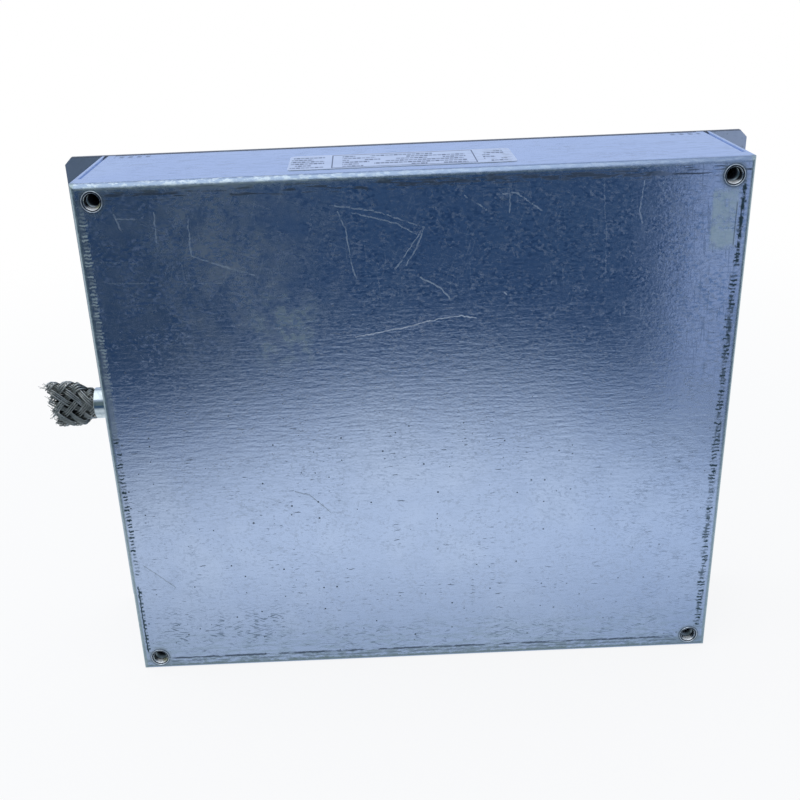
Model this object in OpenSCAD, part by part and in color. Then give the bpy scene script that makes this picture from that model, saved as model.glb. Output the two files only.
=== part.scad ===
// Three-phase line filter in a flat sheet-metal case, made to be bolted to a
// panel by its base plate and to carry a motor drive on its face.
// X runs along the long walls, the face looks towards -Y, the base plate lies
// at +Y and the case stands on its lower long wall, with Z = 0 under it.

/* [Case] */
// Length of the case along its long walls, without the plate's ears
case_length = 217.5; // [212:0.5:260]
// Height of the case and of the base plate
case_height = 185; // [180:0.5:230]
// Depth of the case from its face to the base plate
case_depth = 53; // [50:0.5:80]
// Thickness of the case's sheet
sheet = 1; // [0.8:0.1:1.5]
// Outer radius of the bends between the face and the walls
bend_radius = 2; // [1.6:0.1:3]
// Outer radius of the bends of the corner tabs
tab_radius = 1.6; // [1.6:0.1:2.4]
// Width of the corner tabs that lie inside the end walls
tab_width = 12; // [8:0.5:16]
// Distance from the face at which the open corner seams start
seam_start = 9; // [4:0.5:14]
// Width of the flanges that are turned in along the long walls
flange_width = 12; // [11:0.5:14]
// Outer radius of the flanges' bends
flange_radius = 1.6; // [1.6:0.1:2.4]
// Distance from the end walls at which the flanges stop
flange_notch = 4; // [3:0.5:8]

/* [Base plate] */
// Thickness of the base plate
plate_thickness = 2; // [1.8:0.1:3]
// Width of the ear at each end of the plate
ear_width = 13.75; // [13:0.25:25]
// Chamfer at the plate's four corners
plate_chamfer = 2.5; // [0.5:0.1:6]
// Width of the mounting slots
slot_width = 5.5; // [4.3:0.1:6.6]
// Length of the mounting slots, end to end
slot_length = 9; // [7.5:0.5:10]
// Distance of the slots' centres from the plate's ends
slot_end_inset = 6.5; // [6.5:0.25:7]
// Distance of the slots' centres from the plate's long edges
slot_edge_inset = 14.5; // [10:0.5:30]

/* [Drive mounting nuts] */
// Distance of the nuts' axes from the end walls' outer faces
nut_end_inset = 6.75; // [6.75:0.25:12]
// Distance of the nuts' axes from the long walls' outer faces
nut_edge_inset = 5.5; // [5.5:0.25:12]
// Radius of the nuts' threaded bore, at the core of the thread
nut_bore_r = 2.1; // [1.6:0.05:2.1]
// Radius of the nuts' body where it passes through the face
nut_body_r = 3.1; // [3.1:0.05:3.3]
// Radius of the nuts' thin head on the face
nut_head_r = 3.5; // [3.45:0.05:4.2]
// How far the nuts' head stands proud of the face
nut_head_proud = 0.3; // [0.2:0.05:0.6]
// Radius of the bulge that grips the back of the face
nut_bulge_r = 3.9; // [3.6:0.05:3.9]
// Length of the nuts behind the face's front
nut_length = 12; // [9:0.5:16]

/* [Plate screws] */
// Radius of the plate screws' shank
plate_screw_r = 1.5; // [1.25:0.05:1.75]
// Radius of the plate screws' countersunk head
plate_screw_head_r = 2.9; // [2.6:0.1:3.2]
// Length of the plate screws
plate_screw_length = 6; // [5:0.5:8]
// Number of screws along each long wall
plate_screw_count = 4; // [3:1:6]
// Distance of the outer screws from the end walls
plate_screw_inset = 22; // [14:1:40]
// Radius of the drawn collars that the screws bite into
collar_r = 2.5; // [2.3:0.1:2.9]
// Height of the drawn collars
collar_height = 1.8; // [1:0.1:3]

/* [Rating label] */
// Length of the label
label_length = 74.5; // [50:0.5:120]
// Width of the label
label_width = 26; // [15:0.5:30]
// Thickness of the label
label_thickness = 0.15; // [0.1:0.05:0.3]
// Corner radius of the label
label_corner = 2; // [0.5:0.25:4]
// Distance of the label's centre from the middle of the case
label_x = -3; // [-20:0.5:20]
// Distance of the label's front edge from the face
label_front = 8.5; // [5:0.5:12]

/* [Cable outlet] */
// Outer radius of the ferrule
ferrule_r = 5.7; // [5.5:0.1:7]
// Wall of the ferrule
ferrule_wall = 1; // [0.7:0.1:1.2]
// How far the ferrule stands out of the end wall
ferrule_reach = 9.2; // [8:0.2:16]
// Radius of the ferrule's flange inside the case
ferrule_flange_r = 8; // [7.5:0.25:10]
// Thickness of the ferrule's flange
ferrule_flange_t = 1.5; // [1:0.25:2.5]
// Depth of the ferrule's axis behind the face
ferrule_depth = 27; // [22:0.5:30]
// Height of the ferrule's axis above the middle of the case
ferrule_rise = 8.5; // [7.5:0.5:12]

/* [Shield braid] */
// Length of the braid beyond the ferrule's mouth
braid_reach = 17; // [10:0.5:30]
// Length of the braid inside the ferrule
braid_grip = 4.5; // [2:0.5:6]
// Half width of the flattened braid where it is widest
braid_half_width = 8.4; // [6.5:0.1:10]
// Half thickness of the flattened braid
braid_half_thickness = 2.6; // [2:0.1:4.5]
// Extra length of the braid along its upper edge
braid_slant = 1.2; // [0:0.1:3]
// Number of wire bundles that run each way round the braid
braid_bundles = 8; // [6:1:10]
// Height to which the bundles stand out where they cross
bundle_height = 0.7; // [0.3:0.05:0.9]
// Thickness of the braid's wall under the bundles
braid_wall = 0.6; // [0.4:0.05:0.9]

/* [Terminal block] */
// Distance between neighbouring terminals
terminal_pitch = 13; // [12:0.5:16]
// Number of terminals
terminal_count = 4; // [4:1:5]
// Width of the block across the case's depth
block_width = 24; // [22:0.5:28]
// Depth of the block behind the end wall
block_depth = 20; // [19:0.5:22]
// How far the block stands out of the end wall
block_proud = 1.5; // [0.5:0.25:4]
// Length of each fixing ear beyond the window
block_ear = 9; // [8:0.5:12]
// Thickness of the fixing ears
block_ear_t = 5; // [4:0.5:7]
// Side of the square wire entries
entry_side = 7; // [6:0.25:7.5]
// Depth of the wire entries and screw wells
entry_depth = 11; // [9:0.5:12]
// Distance of the wire entries and screw wells from the block's middle
entry_offset = 5.5; // [5.25:0.25:6]
// Radius of the screw wells
well_r = 2.9; // [2.7:0.1:3.2]
// Radius of the block's two fixing screws
block_screw_r = 1.5; // [1.25:0.05:1.75]

/* [Circuit board] */
// Distance between the board and the flanges along the long walls
board_flange_gap = 5.5; // [4:0.5:8]
// Distance between the board and the left end wall
board_left_gap = 22.75; // [22:0.25:28]
// Distance between the board and the terminals' tails
board_right_gap = 15.75; // [15:0.25:20]
// Thickness of the board
board_thickness = 1.6; // [1:0.1:2.4]
// Height of the spacers between the plate and the board
spacer_height = 8; // [6.5:0.5:9]
// Radius of the spacers
spacer_r = 3; // [2.6:0.1:3.2]
// Radius of the spacers' foot, pressed into the plate
spacer_foot_r = 2.1; // [1.8:0.1:2.4]
// Distance of the spacers from the board's edges
spacer_inset = 5; // [4.5:0.25:6]
// Radius of the board screws
board_screw_r = 1.5; // [1.25:0.05:1.5]
// Length of the board screws under the head
board_screw_length = 6; // [5:0.5:7]
// Thickness of the insulating sheet on the plate
insulation_thickness = 0.4; // [0.2:0.1:0.8]
// How far the insulating sheet runs past the board's edges
insulation_margin = 1.5; // [0.5:0.25:3]

/* [Choke] */
// Inner radius of the choke's core
core_inner_r = 18; // [16:0.5:21]
// Outer radius of the choke's core
core_outer_r = 34; // [30:0.5:36]
// Height of the choke's core
core_height = 28; // [15:0.5:30]
// Width of the flat winding wire
wire_width = 2.2; // [1.6:0.1:2.6]
// Thickness of the flat winding wire
wire_thickness = 2; // [1.4:0.1:2.2]
// Thickness of the choke's base disc
choke_base_t = 2; // [1.5:0.25:3]
// Thickness of the divider's arms
divider_t = 2; // [1.5:0.25:3]

/* [Capacitors and resistors] */
// Length of an interference capacitor between two phases
x_cap_length = 31.5; // [26:0.5:34]
// Width of an interference capacitor between two phases
x_cap_width = 14; // [10:0.5:15]
// Height of an interference capacitor between two phases
x_cap_height = 28; // [16:0.5:36]
// Distance of the phase capacitors from the board's ends
x_cap_inset = 22; // [20.5:0.5:23]
// Distance between neighbouring phase capacitors
x_cap_pitch = 42; // [37:0.5:43]
// Length of a capacitor to earth
y_cap_length = 13; // [10:0.5:18]
// Width of a capacitor to earth
y_cap_width = 6; // [4:0.5:7]
// Height of a capacitor to earth
y_cap_height = 12; // [8:0.5:20]
// Distance between neighbouring capacitors to earth
y_cap_pitch = 25; // [20:0.5:26]
// Distance of the capacitors to earth from the board's upper edge
y_cap_inset = 9; // [8:0.5:12]
// Radius of a discharge resistor
resistor_r = 2.2; // [1.2:0.1:3]
// Length of a discharge resistor's body
resistor_length = 11; // [6:0.5:14]
// Distance between neighbouring resistors
resistor_pitch = 33; // [26:0.5:36]
// Distance of the resistors from the board's lower edge
resistor_inset = 10; // [8:0.5:14]
// Radius of the components' wire legs
leg_r = 0.4; // [0.3:0.05:0.6]

/* [Leads and earth] */
// Radius of the insulated leads
lead_r = 1.6; // [1.2:0.05:1.6]
// Radius to which the leads are bent
lead_bend = 5; // [4:0.5:5]
// Radius of the earth stud
stud_r = 2.5; // [2:0.25:3]
// Length of the earth stud inside the plate
stud_length = 13; // [11:0.5:18]
// Distance of the earth stud below the lowest terminal
stud_drop = 22; // [20:0.5:30]
// Thickness of the lugs and the washer on the earth stud
lug_thickness = 1; // [0.8:0.1:1.2]

/* [Hidden] */
$fn = 48;

// Clearance between pieces that fit into or round each other
fit = 0.1;
// Clearance between a screw and its thread
thread_fit = 0.05;
// How far a cutting shape runs past what it cuts
past = 1;

// Places of the main planes
total_depth = case_depth + plate_thickness;
face_y = -total_depth / 2;
plate_y = face_y + case_depth;
back_y = total_depth / 2;
mid_z = case_height / 2;
end_x = case_length / 2;
plate_length = case_length + 2 * ear_width;

// Nuts on the face
nut_x = end_x - nut_end_inset;
nut_z = case_height / 2 - nut_edge_inset;
nut_hole_r = nut_body_r + thread_fit;
// Raised ring, groove and rounded edges of the nuts' head
nut_ring_width = 0.65;
nut_groove_width = 0.25;
nut_groove_depth = 0.4;
nut_edge = 0.1;
// Depth of the countersink over the threaded bore
nut_bore_start = 1.3;
// Each third of the bulge's length: slope, flat, slope
nut_bulge_step = 1;

// Cross recess of the screws, and height of their domed heads
recess_width = 0.6;
recess_depth = 1;
pan_head_h = 1.8;
pan_head_ratio = 1.85;

// Screws between the plate and the flanges
plate_screw_x = end_x - plate_screw_inset;
plate_screw_z = mid_z - flange_width / 2 - sheet / 2;
plate_screw_step = 2 * plate_screw_x / (plate_screw_count - 1);

// Slots in the ears
slot_x = plate_length / 2 - slot_end_inset;
slot_z = case_height / 2 - slot_edge_inset;

// Cable outlet
ferrule_y = face_y + ferrule_depth;
ferrule_z = mid_z + ferrule_rise;
ferrule_bore_r = ferrule_r - ferrule_wall;
ferrule_mouth_x = end_x + ferrule_reach;

// Terminal block
block_length = terminal_count * terminal_pitch + 2;
block_y = face_y + case_depth / 2;
wall_inner_x = end_x - sheet;
block_front_x = end_x + block_proud;
block_back_x = wall_inner_x - block_depth;
clamp_front_x = block_front_x - entry_depth;
clamp_depth = 8;
clamp_side = 10;
clamp_span = 18;
tail_reach = 5;
tail_width = 4;
tail_thickness = 1;
tail_x = block_back_x - tail_reach;
wire_bore_r = 2.7;
wire_bore_depth = 6;
terminal_screw_r = 1.5;
terminal_screw_length = 6;
terminal_head_h = 3;
driver_slot_width = 0.8;
driver_slot_depth = 1;
block_screw_z = block_length / 2 + block_ear / 2;

// Board and what stands on it
board_back_y = plate_y - spacer_height;
board_front_y = board_back_y - board_thickness;
board_left_x = -wall_inner_x + board_left_gap;
board_right_x = tail_x - board_right_gap;
board_length = board_right_x - board_left_x;
board_x = (board_left_x + board_right_x) / 2;
board_height = case_height - 2 * (flange_width + board_flange_gap);
spacer_x = board_length / 2 - spacer_inset;
spacer_z = board_height / 2 - spacer_inset;
spacer_bore_rest = 0.5;
// Pads near the board's ends: distance of the outer row, and to the inner row
pad_inset = 4;
pad_step = 6;
line_pad_x = board_right_x - pad_inset;
// Legs stand this far out of the board's back
leg_stub = 1;
leg_reach = board_thickness + leg_stub;
leg_hole_r = leg_r + fit;

// Choke: the windings' inner legs touch, which sets the angle between turns
winding_inner_r = core_inner_r - fit - wire_thickness;
winding_outer_r = core_outer_r + fit + wire_thickness;
winding_pin_r = 0.4 * wire_thickness;
turn_overlap = 0.06;
turn_angle = 2 * asin((1 - turn_overlap) * wire_width / 2 / winding_inner_r);
winding_sector = 92;
turn_count = floor(winding_sector / turn_angle);
choke_hole_r = 4;
divider_hub_r = 3;
// How much lower than the hub the divider's arms are, at each end
divider_drop = 0.5;
winding_height = core_height + 2 * fit + 2 * wire_thickness;

// Earth stud, straight under the bend of the lowest terminal's lead
lowest_terminal_z = mid_z - (terminal_count - 1) / 2 * terminal_pitch;
// Shortest straight run of a lead next to a bend
lead_straight = 1;
stud_x = tail_x - lead_bend - lead_straight;
stud_z = lowest_terminal_z - stud_drop;
stud_head_r = stud_r + 1;
stud_head_t = 1;
stud_nut_h = 1.6 * stud_r;
// Radius round the corners of the stud's nut
stud_nut_r = 1.84 * stud_r;
lug_r = 2 * stud_r;
barrel_r = lead_r + 0.6;
barrel_length = 6;
barrel_start = lug_r + 0.5;
// Tongue of a lug: it reaches this far under its barrel
tongue_overlap = 1;
tongue_length = barrel_start + tongue_overlap;

// ---- helpers ----

// Moves children so that their X, Y and Z run along the given unit vectors
module placed(origin, x, y, z)
    multmatrix([[x[0], y[0], z[0], origin[0]],
                [x[1], y[1], z[1], origin[1]],
                [x[2], y[2], z[2], origin[2]],
                [0, 0, 0, 1]]) children();

// Cylinder along +X or +Y from a point
module along_x(origin, h, r)
    translate(origin) rotate([0, 90, 0]) cylinder(h = h, r = r);
module along_y(origin, h, r)
    translate(origin) rotate([-90, 0, 0]) cylinder(h = h, r = r);

// Same piece on the left and the right, or below and above the middle
module left_and_right() {
    children();
    mirror([1, 0, 0]) children();
}
module below_and_above() {
    children();
    translate([0, 0, case_height]) mirror([0, 0, 1]) children();
}

// Rod of one radius through points joined at right angles, with true bends
module bent_rod(points, radius, bend) {
    last = len(points) - 1;
    for (i = [0:last - 1]) {
        run = points[i + 1] - points[i];
        dir = run / norm(run);
        skip_start = i == 0 ? 0 : bend;
        skip_end = i == last - 1 ? 0 : bend;
        side = abs(dir[2]) > 0.5 ? [1, 0, 0] : [0, 0, 1];
        placed(points[i] + dir * skip_start, side, cross(dir, side), dir)
            cylinder(h = norm(run) - skip_start - skip_end, r = radius);
    }
    if (last > 1)
        for (i = [1:last - 1]) {
            before = (points[i] - points[i - 1]) / norm(points[i] - points[i - 1]);
            after = (points[i + 1] - points[i]) / norm(points[i + 1] - points[i]);
            placed(points[i] - before * bend + after * bend, -after, before,
                   cross(before, after))
                rotate_extrude(angle = 90) translate([bend, 0]) circle(radius);
        }
}

// Rectangle with two rounded front corners: depth along x, width along y
module tray_outline(width, depth, radius) {
    translate([radius, -width / 2]) square([depth - radius, width]);
    translate([0, -width / 2 + radius]) square([radius, width - 2 * radius]);
    for (side = [-1, 1])
        translate([radius, side * (width / 2 - radius)]) circle(radius);
}

// Block with rounded front edges, inset from the case's outside all round
module tray_block(inset, depth)
    intersection() {
        translate([0, face_y + inset, inset])
            linear_extrude(case_height - 2 * inset)
                rotate(90) tray_outline(case_length - 2 * inset, depth, bend_radius - inset);
        translate([inset - end_x, face_y + inset, mid_z]) rotate([90, 0, 90])
            linear_extrude(case_length - 2 * inset)
                tray_outline(case_height - 2 * inset, depth, bend_radius - inset);
    }

// Quarter of a sheet's bend, centred on the origin, in the +x +y quadrant
module bend_section(radius)
    intersection() {
        difference() {
            circle(radius);
            circle(radius - sheet);
        }
        square(radius);
    }

// ---- case ----

// Material that gives way to the bent tab at the upper right corner
module seam_cut()
    translate([wall_inner_x - tab_radius, face_y + seam_start, case_height - tab_radius])
        cube([tab_radius, case_depth, tab_radius + past]);

// Tab at the upper right corner, bent down behind the end wall
module corner_tab()
    translate([0, plate_y, 0]) rotate([90, 0, 0])
        linear_extrude(case_depth - seam_start) {
            translate([wall_inner_x - tab_radius, case_height - tab_radius])
                bend_section(tab_radius);
            translate([wall_inner_x - sheet, case_height - tab_width])
                square([sheet, tab_width - tab_radius]);
        }

// Flange turned in along the lower long wall
module flange() {
    span = 2 * (wall_inner_x - flange_notch);
    translate([-span / 2, plate_y, 0]) rotate([90, 0, 90]) linear_extrude(span) {
        translate([-flange_radius, flange_radius])
            mirror([0, 1]) bend_section(flange_radius);
        translate([-sheet, flange_radius])
            square([sheet, flange_width - flange_radius]);
    }
}

// Material that gives way to the flange's bend
module flange_cut() {
    span = 2 * (wall_inner_x - flange_notch);
    translate([-span / 2, plate_y - flange_radius, -past])
        cube([span, flange_radius + past, flange_radius + past]);
}

// Places along both flanges where the plate is screwed on
module at_plate_screws(y)
    for (i = [0:plate_screw_count - 1], side = [-1, 1])
        translate([-plate_screw_x + i * plate_screw_step, y, mid_z + side * plate_screw_z])
            children();

// Places on the face where the drive is bolted on
module at_drive_nuts(y)
    for (sx = [-1, 1], sz = [-1, 1])
        translate([sx * nut_x, y, mid_z + sz * nut_z]) children();

module case_tray()
    color([0.62, 0.68, 0.8]) difference() {
        union() {
            difference() {
                tray_block(0, case_depth);
                tray_block(sheet, case_depth);
                left_and_right() below_and_above() seam_cut();
                below_and_above() flange_cut();
            }
            left_and_right() below_and_above() corner_tab();
            below_and_above() flange();
            at_plate_screws(plate_y - sheet - collar_height)
                along_y([0, 0, 0], collar_height, collar_r);
        }
        at_plate_screws(plate_y - sheet - collar_height - past)
            along_y([0, 0, 0], sheet + collar_height + 2 * past, plate_screw_r + thread_fit);
        at_drive_nuts(face_y - past) along_y([0, 0, 0], sheet + 2 * past, nut_hole_r);
        along_x([-end_x - past, ferrule_y, ferrule_z], sheet + 2 * past, ferrule_r + fit);
        translate([wall_inner_x - past, block_y - block_width / 2, mid_z - block_length / 2])
            cube([sheet + 2 * past, block_width, block_length]);
        for (side = [-1, 1])
            along_x([wall_inner_x - past, block_y, mid_z + side * block_screw_z],
                    sheet + 2 * past, block_screw_r + fit);
    }

// ---- base plate and its screws ----

// Slot with round ends, centred, along x
module slot_outline() {
    straight = slot_length - slot_width;
    square([straight, slot_width], center = true);
    for (side = [-1, 1]) translate([side * straight / 2, 0]) circle(slot_width / 2);
}

// Countersunk head and shank of a plate screw, from the head's flat, along +Z
module countersunk(head_r, shank_r, length) {
    cylinder(h = head_r - shank_r, r1 = head_r, r2 = shank_r);
    cylinder(h = length, r = shank_r);
}

module base_plate() {
    half = plate_length / 2;
    color([0.55, 0.6, 0.7]) difference() {
        translate([0, back_y, 0]) rotate([90, 0, 0]) linear_extrude(plate_thickness)
            difference() {
                polygon([[-half + plate_chamfer, 0], [half - plate_chamfer, 0],
                         [half, plate_chamfer], [half, case_height - plate_chamfer],
                         [half - plate_chamfer, case_height],
                         [-half + plate_chamfer, case_height],
                         [-half, case_height - plate_chamfer], [-half, plate_chamfer]]);
                for (sx = [-1, 1], sz = [-1, 1])
                    translate([sx * slot_x, mid_z + sz * slot_z]) slot_outline();
                for (sx = [-1, 1], sz = [-1, 0, 1])
                    translate([board_x + sx * spacer_x, mid_z + sz * spacer_z])
                        circle(spacer_foot_r + thread_fit);
                translate([stud_x, stud_z]) circle(stud_r + thread_fit);
            }
        at_plate_screws(back_y) rotate([90, 0, 0])
            countersunk(plate_screw_head_r + thread_fit, plate_screw_r + thread_fit,
                        plate_thickness + past);
        translate([stud_x, back_y + past, stud_z]) rotate([90, 0, 0])
            cylinder(h = past + stud_head_t + thread_fit, r = stud_head_r + thread_fit);
    }
}

// Two crossed cuts of a screwdriver recess, from the surface down along +Z
module cross_recess(span)
    for (turn = [0, 90])
        rotate(turn) translate([-span / 2, -recess_width / 2, -past])
            cube([span, recess_width, recess_depth + past]);

// Screw with a flat-topped head and a cross recess: the shank runs along +Z from
// the origin, the head stands below it
module pan_screw(shank_r, length)
    difference() {
        union() {
            translate([0, 0, -pan_head_h]) cylinder(h = pan_head_h, r = pan_head_ratio * shank_r);
            cylinder(h = length, r = shank_r);
        }
        translate([0, 0, -pan_head_h]) cross_recess(2 * shank_r);
    }

module plate_screws()
    color([0.75, 0.76, 0.78]) at_plate_screws(back_y) rotate([90, 0, 0]) difference() {
        countersunk(plate_screw_head_r, plate_screw_r, plate_screw_length);
        cross_recess(1.2 * plate_screw_head_r);
    }

// ---- nuts that the drive is bolted to ----

// Half section of a nut: x is the radius, y the depth behind the face
module nut_section() {
    groove_r = nut_head_r - nut_ring_width;
    lip_r = groove_r - nut_groove_width;
    polygon([[nut_bore_r, nut_length], [nut_bore_r, nut_bore_start], [lip_r - nut_edge, 0],
             [lip_r, nut_edge], [lip_r, nut_groove_depth], [groove_r, nut_groove_depth],
             [groove_r, -nut_edge], [groove_r + nut_edge, -nut_head_proud],
             [nut_head_r - nut_edge, -nut_head_proud], [nut_head_r, -nut_edge],
             [nut_head_r, 0], [nut_body_r, 0], [nut_body_r, sheet],
             [nut_bulge_r, sheet + nut_bulge_step], [nut_bulge_r, sheet + 2 * nut_bulge_step],
             [nut_body_r, sheet + 3 * nut_bulge_step], [nut_body_r, nut_length]]);
}

module drive_nuts()
    color([0.8, 0.8, 0.74]) at_drive_nuts(face_y) rotate([-90, 0, 0])
        rotate_extrude() nut_section();

// ---- label ----

module rating_label()
    color([0.8, 0.83, 0.9])
        translate([label_x - label_length / 2, face_y + label_front, case_height])
            linear_extrude(label_thickness) {
                translate([label_corner, 0])
                    square([label_length - 2 * label_corner, label_width]);
                translate([0, label_corner])
                    square([label_length, label_width - 2 * label_corner]);
                for (x = [label_corner, label_length - label_corner],
                     y = [label_corner, label_width - label_corner])
                    translate([x, y]) circle(label_corner);
            }

// ---- cable outlet ----

// Drawn on its side: x is the radius, y runs inwards from the mouth
module cable_ferrule() {
    wall_at = ferrule_reach + sheet;
    lip = ferrule_wall / 3;
    color([0.85, 0.87, 0.9])
        placed([-ferrule_mouth_x, ferrule_y, ferrule_z], [0, 0, 1], [0, -1, 0], [1, 0, 0])
            rotate_extrude()
                polygon([[ferrule_bore_r + lip, 0], [ferrule_r - lip, 0], [ferrule_r, lip],
                         [ferrule_r, wall_at], [ferrule_flange_r, wall_at],
                         [ferrule_flange_r, wall_at + ferrule_flange_t],
                         [ferrule_bore_r, wall_at + ferrule_flange_t],
                         [ferrule_bore_r, lip]]);
}

// ---- shield braid ----

braid_total = braid_grip + braid_reach;
neck_r = ferrule_bore_r - fit - bundle_height;
throat_r = ferrule_r - bundle_height;
// Rings along the braid and points round each ring
braid_rings = 22;
ring_points = 48;
// Turn of each bundle over the braid's length, at about 40 degrees to its axis
braid_turn = 150 * braid_total / (PI * (braid_half_width + braid_half_thickness) / 2);
// Distances from the ferrule's mouth at which the braid swells over the rim, spreads
// and flattens, and the lengths over which it does so
rim_length = 0.8;
spread_start = 2;
spread_length = 4.5;
flatten_start = 1;
flatten_length = 6;

function ease(t) = let (c = max(0, min(1, t))) c * c * (3 - 2 * c);
// Half width and half thickness of the braid's wall at a distance from its inner end
function braid_wide(u) = neck_r + (throat_r - neck_r) * ease((u - braid_grip) / rim_length)
    + (braid_half_width - throat_r) * ease((u - braid_grip - spread_start) / spread_length);
function braid_thick(u) = neck_r
    + (braid_half_thickness - neck_r) * ease((u - braid_grip - flatten_start) / flatten_length);
// Point u along the braid, a degrees round it, and out from its wall
function braid_point(u, a, out) = [
    -ferrule_mouth_x + braid_grip - u * (1 + braid_slant * sin(a) / braid_total),
    ferrule_y + (braid_thick(u) + out) * cos(a),
    ferrule_z + (braid_wide(u) + out) * sin(a)];
// Height of a bundle's rounded back, at a share of the spacing from its middle
function bundle_back(share) = let (off = 2 * abs(share - round(share))) 1 - pow(off, 3);
// Height of the weave: bundles of both ways, one lifted over the other in turn
function weave(u, a) = let (turn = braid_turn * u / braid_total,
                            lift = 0.5 * cos(turn * braid_bundles))
    bundle_height / 2 * max(0, max(bundle_back((a - turn) * braid_bundles / 360) + lift,
                                   bundle_back((a + turn) * braid_bundles / 360) - lift));

// Faces between two rings of points, split into triangles
function ring_faces(from, to, flip) = [for (k = [0:ring_points - 1])
    let (n = (k + 1) % ring_points, a = from + k, b = from + n, c = to + n, d = to + k)
        each flip ? [[a, c, b], [a, d, c]] : [[a, b, c], [a, c, d]]];

module shield_braid() {
    outer = [for (i = [0:braid_rings], k = [0:ring_points - 1])
        let (u = braid_total * i / braid_rings, a = 360 * k / ring_points)
            braid_point(u, a, weave(u, a))];
    inner = [for (i = [0:braid_rings], k = [0:ring_points - 1])
        braid_point(braid_total * i / braid_rings, 360 * k / ring_points, -braid_wall)];
    count = len(outer);
    last = braid_rings * ring_points;
    color([0.34, 0.33, 0.32])
        polyhedron(points = concat(outer, inner), convexity = 6, faces = concat(
            [for (i = [0:braid_rings - 1])
                each ring_faces(i * ring_points, (i + 1) * ring_points, false)],
            [for (i = [0:braid_rings - 1])
                each ring_faces(count + i * ring_points, count + (i + 1) * ring_points, true)],
            ring_faces(count, 0, false),
            ring_faces(last, count + last, false)));
}

// ---- terminal block ----

function terminal_z(i) = lowest_terminal_z + i * terminal_pitch;

module terminal_block()
    color([0.22, 0.24, 0.25]) difference() {
        union() {
            translate([block_back_x, block_y - block_width / 2 + fit,
                       mid_z - block_length / 2 + fit])
                cube([block_front_x - block_back_x, block_width - 2 * fit,
                      block_length - 2 * fit]);
            translate([wall_inner_x - block_ear_t, block_y - block_width / 2,
                       mid_z - block_length / 2 - block_ear])
                cube([block_ear_t, block_width, block_length + 2 * block_ear]);
        }
        for (i = [0:terminal_count - 1]) {
            translate([clamp_front_x - fit, block_y + entry_offset - entry_side / 2,
                       terminal_z(i) - entry_side / 2])
                cube([entry_depth + fit + past, entry_side, entry_side]);
            along_x([clamp_front_x - fit, block_y - entry_offset, terminal_z(i)],
                    entry_depth + fit + past, well_r);
            translate([block_back_x - past, block_y - clamp_span / 2 - fit,
                       terminal_z(i) - clamp_side / 2 - fit])
                cube([clamp_front_x - block_back_x + past, clamp_span + 2 * fit,
                      clamp_side + 2 * fit]);
        }
        for (side = [-1, 1])
            along_x([wall_inner_x - block_ear_t - past, block_y,
                     mid_z + side * block_screw_z],
                    block_ear_t + 2 * past, block_screw_r + thread_fit);
    }

module terminal_clamps()
    color([0.8, 0.72, 0.45])
        for (i = [0:terminal_count - 1]) difference() {
            union() {
                translate([clamp_front_x - clamp_depth, block_y - clamp_span / 2,
                           terminal_z(i) - clamp_side / 2])
                    cube([clamp_depth, clamp_span, clamp_side]);
                translate([tail_x, block_y - lead_r, terminal_z(i) - tail_width / 2])
                    cube([clamp_front_x - clamp_depth - tail_x, tail_thickness, tail_width]);
            }
            along_x([clamp_front_x - wire_bore_depth, block_y + entry_offset, terminal_z(i)],
                    wire_bore_depth + past, wire_bore_r);
            along_x([clamp_front_x - clamp_depth - past, block_y - entry_offset,
                     terminal_z(i)],
                    clamp_depth + 2 * past, terminal_screw_r + thread_fit);
        }

module terminal_screws()
    color([0.78, 0.78, 0.76])
        for (i = [0:terminal_count - 1])
            translate([clamp_front_x, block_y - entry_offset, terminal_z(i)]) difference() {
                union() {
                    along_x([0, 0, 0], terminal_head_h, well_r - 2 * fit);
                    along_x([-terminal_screw_length, 0, 0], terminal_screw_length,
                            terminal_screw_r);
                }
                translate([terminal_head_h - driver_slot_depth, -driver_slot_width / 2, -well_r])
                    cube([driver_slot_depth + past, driver_slot_width, 2 * well_r]);
            }

module block_screws()
    color([0.78, 0.78, 0.76])
        for (side = [-1, 1])
            translate([end_x, block_y, mid_z + side * block_screw_z]) rotate([0, -90, 0])
                pan_screw(block_screw_r, sheet + block_ear_t);

// ---- circuit board ----

module at_spacers(y)
    for (sx = [-1, 1], sz = [-1, 0, 1])
        translate([board_x + sx * spacer_x, y, mid_z + sz * spacer_z]) children();

// Places of the capacitors: three at the line end, three at the load end
function x_cap_place(i) = [board_x + (i < 3 ? 1 : -1) * (board_length / 2 - x_cap_inset),
                           mid_z + (i % 3 - 1) * x_cap_pitch];
function y_cap_place(i) = [board_x + (i - 1.5) * y_cap_pitch,
                           mid_z + board_height / 2 - y_cap_inset];
function resistor_place(i) = [board_x + (i - 1) * resistor_pitch,
                              mid_z - board_height / 2 + resistor_inset];
// Distance of the legs from the middle: 2 and 1.5 inside a capacitor's ends, and
// 3 beyond a resistor's ends
x_cap_leg = x_cap_length / 2 - 2;
y_cap_leg = y_cap_length / 2 - 1.5;
resistor_leg = resistor_length / 2 + 3;
// Gap under a resistor's body, and radius to which its legs are bent
resistor_gap = 0.4;
resistor_bend = 1;
leg_places = concat(
    [for (i = [0:5], s = [-1, 1]) x_cap_place(i) + [0, s * x_cap_leg]],
    [for (i = [0:3], s = [-1, 1]) y_cap_place(i) + [s * y_cap_leg, 0]],
    [for (i = [0:2], s = [-1, 1]) resistor_place(i) + [s * resistor_leg, 0]]);

module circuit_board()
    color([0.16, 0.42, 0.25]) difference() {
        translate([board_left_x, board_front_y, mid_z - board_height / 2])
            cube([board_length, board_thickness, board_height]);
        at_spacers(board_front_y - past)
            along_y([0, 0, 0], board_thickness + 2 * past, board_screw_r + fit);
        for (place = leg_places)
            along_y([place[0], board_front_y - past, place[1]],
                    board_thickness + 2 * past, leg_hole_r);
    }

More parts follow.
